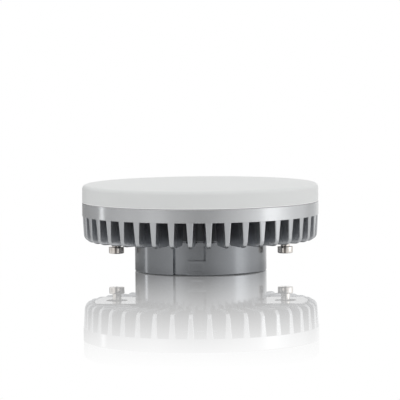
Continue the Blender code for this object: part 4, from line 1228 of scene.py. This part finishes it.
white_board = Finish("white_led_board", IOR=1.5)
out, across, z = white_board.repeated(POUR_COUNT, 0.0, POUR_TURN)
gap = 1.0 - white_board.span(abs(across), POUR_GAP / 2, POUR_GAP)
x, y, z = white_board.axes()
reach = (x ** 2 + y ** 2) ** 0.5
round_gap = 1.0 - white_board.span(abs(reach - POUR_EDGE), POUR_GAP / 2, POUR_GAP)
gap = white_board.math("MAXIMUM", gap, round_gap)
face = white_board.span(z, LED_BOARD_TOP_Z - LACQUER * 2, LED_BOARD_TOP_Z - LACQUER)
brushed = white_board.noise(0.0002, 3.0, (0.05, 1.0, 1.0))
aluminium = white_board.mix(brushed, (0.60, 0.61, 0.62), (0.72, 0.73, 0.74))
lacquered = white_board.mix(gap, (0.80, 0.80, 0.78), (0.74, 0.74, 0.71))
dress(
    white_board.done(
        Base_Color=white_board.mix(face, aluminium, lacquered),
        Metallic=1.0 - face,
        Roughness=white_board.spread(brushed, 0.32, 0.42),
        Normal=white_board.relief((1.0 - gap) * face, 0.00003),
    ),
    "led_board",
)


# LEDs. Sixteen white ceramic packages, each with a round well of silicone that is
# yellow with phosphor over the chips. They are soldered in two rings.
# The numbers of each ring's LEDs, its radius, and the angle of its first LED.
LED_RINGS = (
    (range(1, 13), 0.0250, 0.0),
    (range(13, 17), 0.0095, 45.0),
)
WELL_RADIUS = 0.0011
WELL_EDGE = 0.00006
WELL_DEPTH = 0.0003
WELL_FADE = 0.0001
LED_TOP_Z = 0.02245

for numbers, radius, first in LED_RINGS:
    package = Finish(f"led_package_ring_{len(numbers)}", IOR=1.5)
    out, across, z = package.repeated(len(numbers), radius, first)
    reach = (out ** 2 + across ** 2) ** 0.5
    well = 1.0 - package.span(reach, WELL_RADIUS - WELL_EDGE, WELL_RADIUS)
    deep = LED_TOP_Z - WELL_DEPTH
    well = well * package.span(z, deep, deep + WELL_FADE)
    phosphor = package.noise(0.00009, 3.0)
    yellow = package.mix(phosphor, (0.72, 0.55, 0.06), (0.84, 0.68, 0.12))
    ceramic = package.mix(phosphor, (0.74, 0.73, 0.69), (0.80, 0.79, 0.76))
    dress(
        package.done(
            Base_Color=package.mix(well, ceramic, yellow),
            Roughness=package.spread(phosphor, 0.45, 0.58) - well * 0.25,
            Normal=package.relief(phosphor, 0.000008),
        ),
        *[f"led_{number:02d}" for number in numbers],
    )


# Assembly screws. Cold-headed steel, zinc plated, with a thread that cuts its own way
# into the pillars of the base. They clamp the LED board and the casting down.
THREAD_PITCH = 0.0009
THREAD_TOP_Z = 0.0195

zinc = Finish("zinc_plated_steel", Metallic=1.0)
out, across, z = zinc.repeated(len(PILLAR_ANGLES), PILLAR_AXIS, PILLAR_ANGLES[0])
turn = z / THREAD_PITCH + zinc.math("ARCTAN2", across, out) / math.tau
thread = zinc.math("PINGPONG", turn, 0.5) * 2.0
threaded = 1.0 - zinc.span(z, THREAD_TOP_Z - THREAD_PITCH, THREAD_TOP_Z)
spangle = zinc.noise(0.0006, 3.0)
dress(
    zinc.done(
        Base_Color=zinc.mix(spangle, (0.55, 0.56, 0.58), (0.68, 0.69, 0.70)),
        Roughness=zinc.spread(spangle, 0.2, 0.34),
        Normal=zinc.relief(thread * threaded, 0.0002),
    ),
    *[f"assembly_screw_{number}" for number in (1, 2, 3)],
)


# Cover. A shallow cup moulded in opal polycarbonate, satin outside, with a painted
# highlight: a narrow band at its foot is painted brighter. Its skirt snaps into a groove
# inside the rim, and a fine gap is left between its wall and the rim.
COVER_STEPS = 192
COVER_SIDE = 0.03695
COVER_DRAFT = 0.00005
COVER_BOTTOM_Z = 0.02166
COVER_TOP_Z = 0.0274
COVER_CROWN = 0.0003
COVER_FULLNESS = 8
CROWN_RINGS = (0.3, 0.5, 0.65, 0.75, 0.82, 0.88, 0.92)
COVER_EDGE = 0.0012
COVER_EDGE_STEPS = 6
COVER_WALL = 0.0016
SKIRT_RADIUS = 0.0342
SKIRT_WALL = 0.0012
SKIRT_BOTTOM_Z = 0.0200
BEAD = 0.0003
COVER_FOOT_EDGE = 0.00005
PAINTED_HIGHLIGHT_HEIGHT = 0.0004
MILKY_WHITES = (0.80, 0.815, 0.81), (0.825, 0.835, 0.83)
PAINTED_HIGHLIGHT_WHITE = (0.95, 0.955, 0.95)

shoulder = COVER_TOP_Z - COVER_CROWN
side = COVER_SIDE - COVER_DRAFT
dome = [
    (side * share, COVER_TOP_Z - COVER_CROWN * share ** COVER_FULLNESS)
    for share in CROWN_RINGS
]
cover_shape = turned(
    [
        (0.0, COVER_TOP_Z),
        *dome,
        (side, shoulder, COVER_EDGE, COVER_EDGE_STEPS),
        (COVER_SIDE, COVER_BOTTOM_Z, COVER_FOOT_EDGE),
        (SKIRT_RADIUS, COVER_BOTTOM_Z),
        (SKIRT_RADIUS, SNAP_Z + BEAD),
        (SKIRT_RADIUS + BEAD, SNAP_Z, BEAD / 3),
        (SKIRT_RADIUS, SNAP_Z - BEAD),
        (SKIRT_RADIUS, SKIRT_BOTTOM_Z),
        (SKIRT_RADIUS - SKIRT_WALL, SKIRT_BOTTOM_Z),
        (SKIRT_RADIUS - SKIRT_WALL, COVER_BOTTOM_Z + COVER_WALL / 2),
        (side - COVER_WALL, COVER_BOTTOM_Z + COVER_WALL),
        (side - COVER_WALL, shoulder - COVER_WALL, COVER_EDGE / 2),
        (0.0, COVER_TOP_Z - COVER_WALL),
    ],
    COVER_STEPS,
)
opal = Finish("opal_polycarbonate", IOR=1.5)
grain = opal.noise(0.00025, 2.0)
haze = opal.noise(0.012, 2.0)
x, y, z = opal.axes()
# A narrow band at the cover's foot is painted near white: a painted highlight.
foot = opal.span(z, COVER_BOTTOM_Z + PAINTED_HIGHLIGHT_HEIGHT / 2, COVER_BOTTOM_Z + PAINTED_HIGHLIGHT_HEIGHT, 1.0, 0.0)
milk = opal.mix(haze, *MILKY_WHITES)
cover = piece(
    "opal_cover",
    cover_shape,
    opal.done(
        Base_Color=opal.mix(foot, milk, PAINTED_HIGHLIGHT_WHITE),
        Roughness=opal.spread(grain, 0.35, 0.42),
        Normal=opal.relief(grain, 0.000006),
    ),
)
keep_flat(cover)
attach(cover, "root")
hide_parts("diffuser")


# Floor. A sheet of polished white acrylic, lit from below. The camera sees no shadow on
# it, but the light it gives the lamp is dimmed round the lamp as a painted shadow. It
# mirrors the lamp where it is wiped clean round it, and is clear when looked at from below.
FLOOR_SIZE = 12.0
FLOOR_GAP = 0.00002
MIRROR_NEAR = 0.02
MIRROR_FAR = 0.238
MIRROR_SHARE = 1.55
FLOOR_IOR = 1.5
SHEEN_SHARE = 0.82
SHEEN_ROUGHNESS = 0.2
SHADE_NEAR = 0.03
SHADE_FAR = 0.06
SHADE_LEAST = 0.2
SHADE_MOST = 0.8
WHITE = (1.0, 1.0, 1.0)

floor_shape = bmesh.new()
bmesh.ops.create_grid(
    floor_shape,
    x_segments=1,
    y_segments=1,
    size=FLOOR_SIZE,
    matrix=Matrix.Translation((0.0, 0.0, -FLOOR_GAP)),
)
floor = piece("floor", floor_shape)
acrylic_material = bpy.data.materials.new("white_acrylic")
acrylic_material.use_nodes = True
acrylic_material.node_tree.nodes.clear()
acrylic = Nodes(acrylic_material.node_tree)
spot = acrylic.node("ShaderNodeTexCoord")["Object"]
parts = acrylic.node("ShaderNodeSeparateXYZ", Vector=spot)
distance = (parts["X"] ** 2 + parts["Y"] ** 2) ** 0.5
wiped = acrylic.node(
    "ShaderNodeMapRange",
    Value=distance,
    From_Min=MIRROR_NEAR,
    From_Max=MIRROR_FAR,
    To_Min=MIRROR_SHARE,
    To_Max=0.0,
)["Result"]
grazing = acrylic.node("ShaderNodeFresnel", IOR=FLOOR_IOR)["Fac"]
white = acrylic.node("ShaderNodeEmission", Color=WHITE, Strength=1.0)["Emission"]
mirror = acrylic.node("ShaderNodeBsdfGlossy", Color=WHITE, Roughness=0.0)["BSDF"]
shown = acrylic.node("ShaderNodeMixShader", None, grazing * wiped, white, mirror)["Shader"]
# The light that the floor gives the lamp is dimmed close round the lamp: a painted shadow.
under = acrylic.span(distance, SHADE_NEAR, SHADE_FAR, SHADE_LEAST, SHADE_MOST)
glow = acrylic.node("ShaderNodeEmission", Color=under, Strength=1.0)["Emission"]
sheen = acrylic.node("ShaderNodeBsdfGlossy", Color=WHITE, Roughness=SHEEN_ROUGHNESS)["BSDF"]
lighting = acrylic.node("ShaderNodeMixShader", None, SHEEN_SHARE, glow, sheen)["Shader"]
ray = acrylic.node("ShaderNodeLightPath")
seen = ray["Is Camera Ray"]
above = acrylic.node("ShaderNodeMixShader", None, seen, lighting, shown)["Shader"]
clear = acrylic.node("ShaderNodeBsdfTransparent")["BSDF"]
underside = acrylic.node("ShaderNodeNewGeometry")["Backfacing"]
below = acrylic.math("MAXIMUM", underside, ray["Transparent Depth"])
surface = acrylic.node("ShaderNodeMixShader", None, below, above, clear)["Shader"]
acrylic.node("ShaderNodeOutputMaterial", Surface=surface)
floor.data.materials.append(acrylic_material)


# Studio. What the lamp mirrors stands round it: a soft box on its right, a narrow strip
# behind its left side, pale walls and a ceiling. The camera sees plain white behind it.
BRIGHTEST = 4.0
OVERHEAD = 0.87
WALL_TOP = 0.15
CEILING = 0.3
# The light that comes from each side, in degrees round the lamp from the camera towards
# the picture's right.
HORIZON = (
    (-180, 0.95), (-174, 0.95), (-168, 0.1), (-150, 0.16), (-135, 0.26), (-124, 0.34),
    (-115, 0.4), (-113, 2.0), (-109, 2.0), (-107, 0.5), (-88, 0.55), (-62, 0.7),
    (-50, 0.85), (-38, 0.8), (-25, 0.5), (-12, 0.35), (0, 0.3), (12, 0.4), (25, 0.62),
    (35, 0.8), (45, 0.97), (56, 1.2), (62, 1.5), (66, 2.1), (77, 2.1), (84, 1.75),
    (98, 1.2), (115, 1.05), (131, 0.68), (148, 0.72), (156, 0.92), (180, 0.92),
)

studio = bpy.data.worlds.new("studio")
studio.use_nodes = True
studio.node_tree.nodes.clear()
bpy.context.scene.world = studio
room = Nodes(studio.node_tree)
parts = room.node("ShaderNodeSeparateXYZ", Vector=room.node("ShaderNodeTexCoord")["Generated"])
turn = room.math("ARCTAN2", parts["X"], parts["Y"] * -1.0) / math.tau
side = room.math("FRACT", turn + 0.5 - CAMERA_AZIMUTH / 360.0)
stops = [(degrees / 360.0 + 0.5, level / BRIGHTEST) for degrees, level in HORIZON]
walls = room.node("ShaderNodeValToRGB", {"stops": stops}, Fac=side)["Color"]
overhead = (OVERHEAD / BRIGHTEST,) * 3
lamps = room.mix(room.span(parts["Z"], WALL_TOP, CEILING), walls, overhead)
path = room.node("ShaderNodeLightPath")
direct = room.math("MAXIMUM", path["Is Camera Ray"], path["Is Singular Ray"])
panorama = room.node("ShaderNodeBackground", Color=lamps, Strength=BRIGHTEST)["Background"]
backdrop = room.node("ShaderNodeBackground", Color=WHITE, Strength=1.0)["Background"]
surface = room.node("ShaderNodeMixShader", None, direct, panorama, backdrop)["Shader"]
room.node("ShaderNodeOutputWorld", Surface=surface)
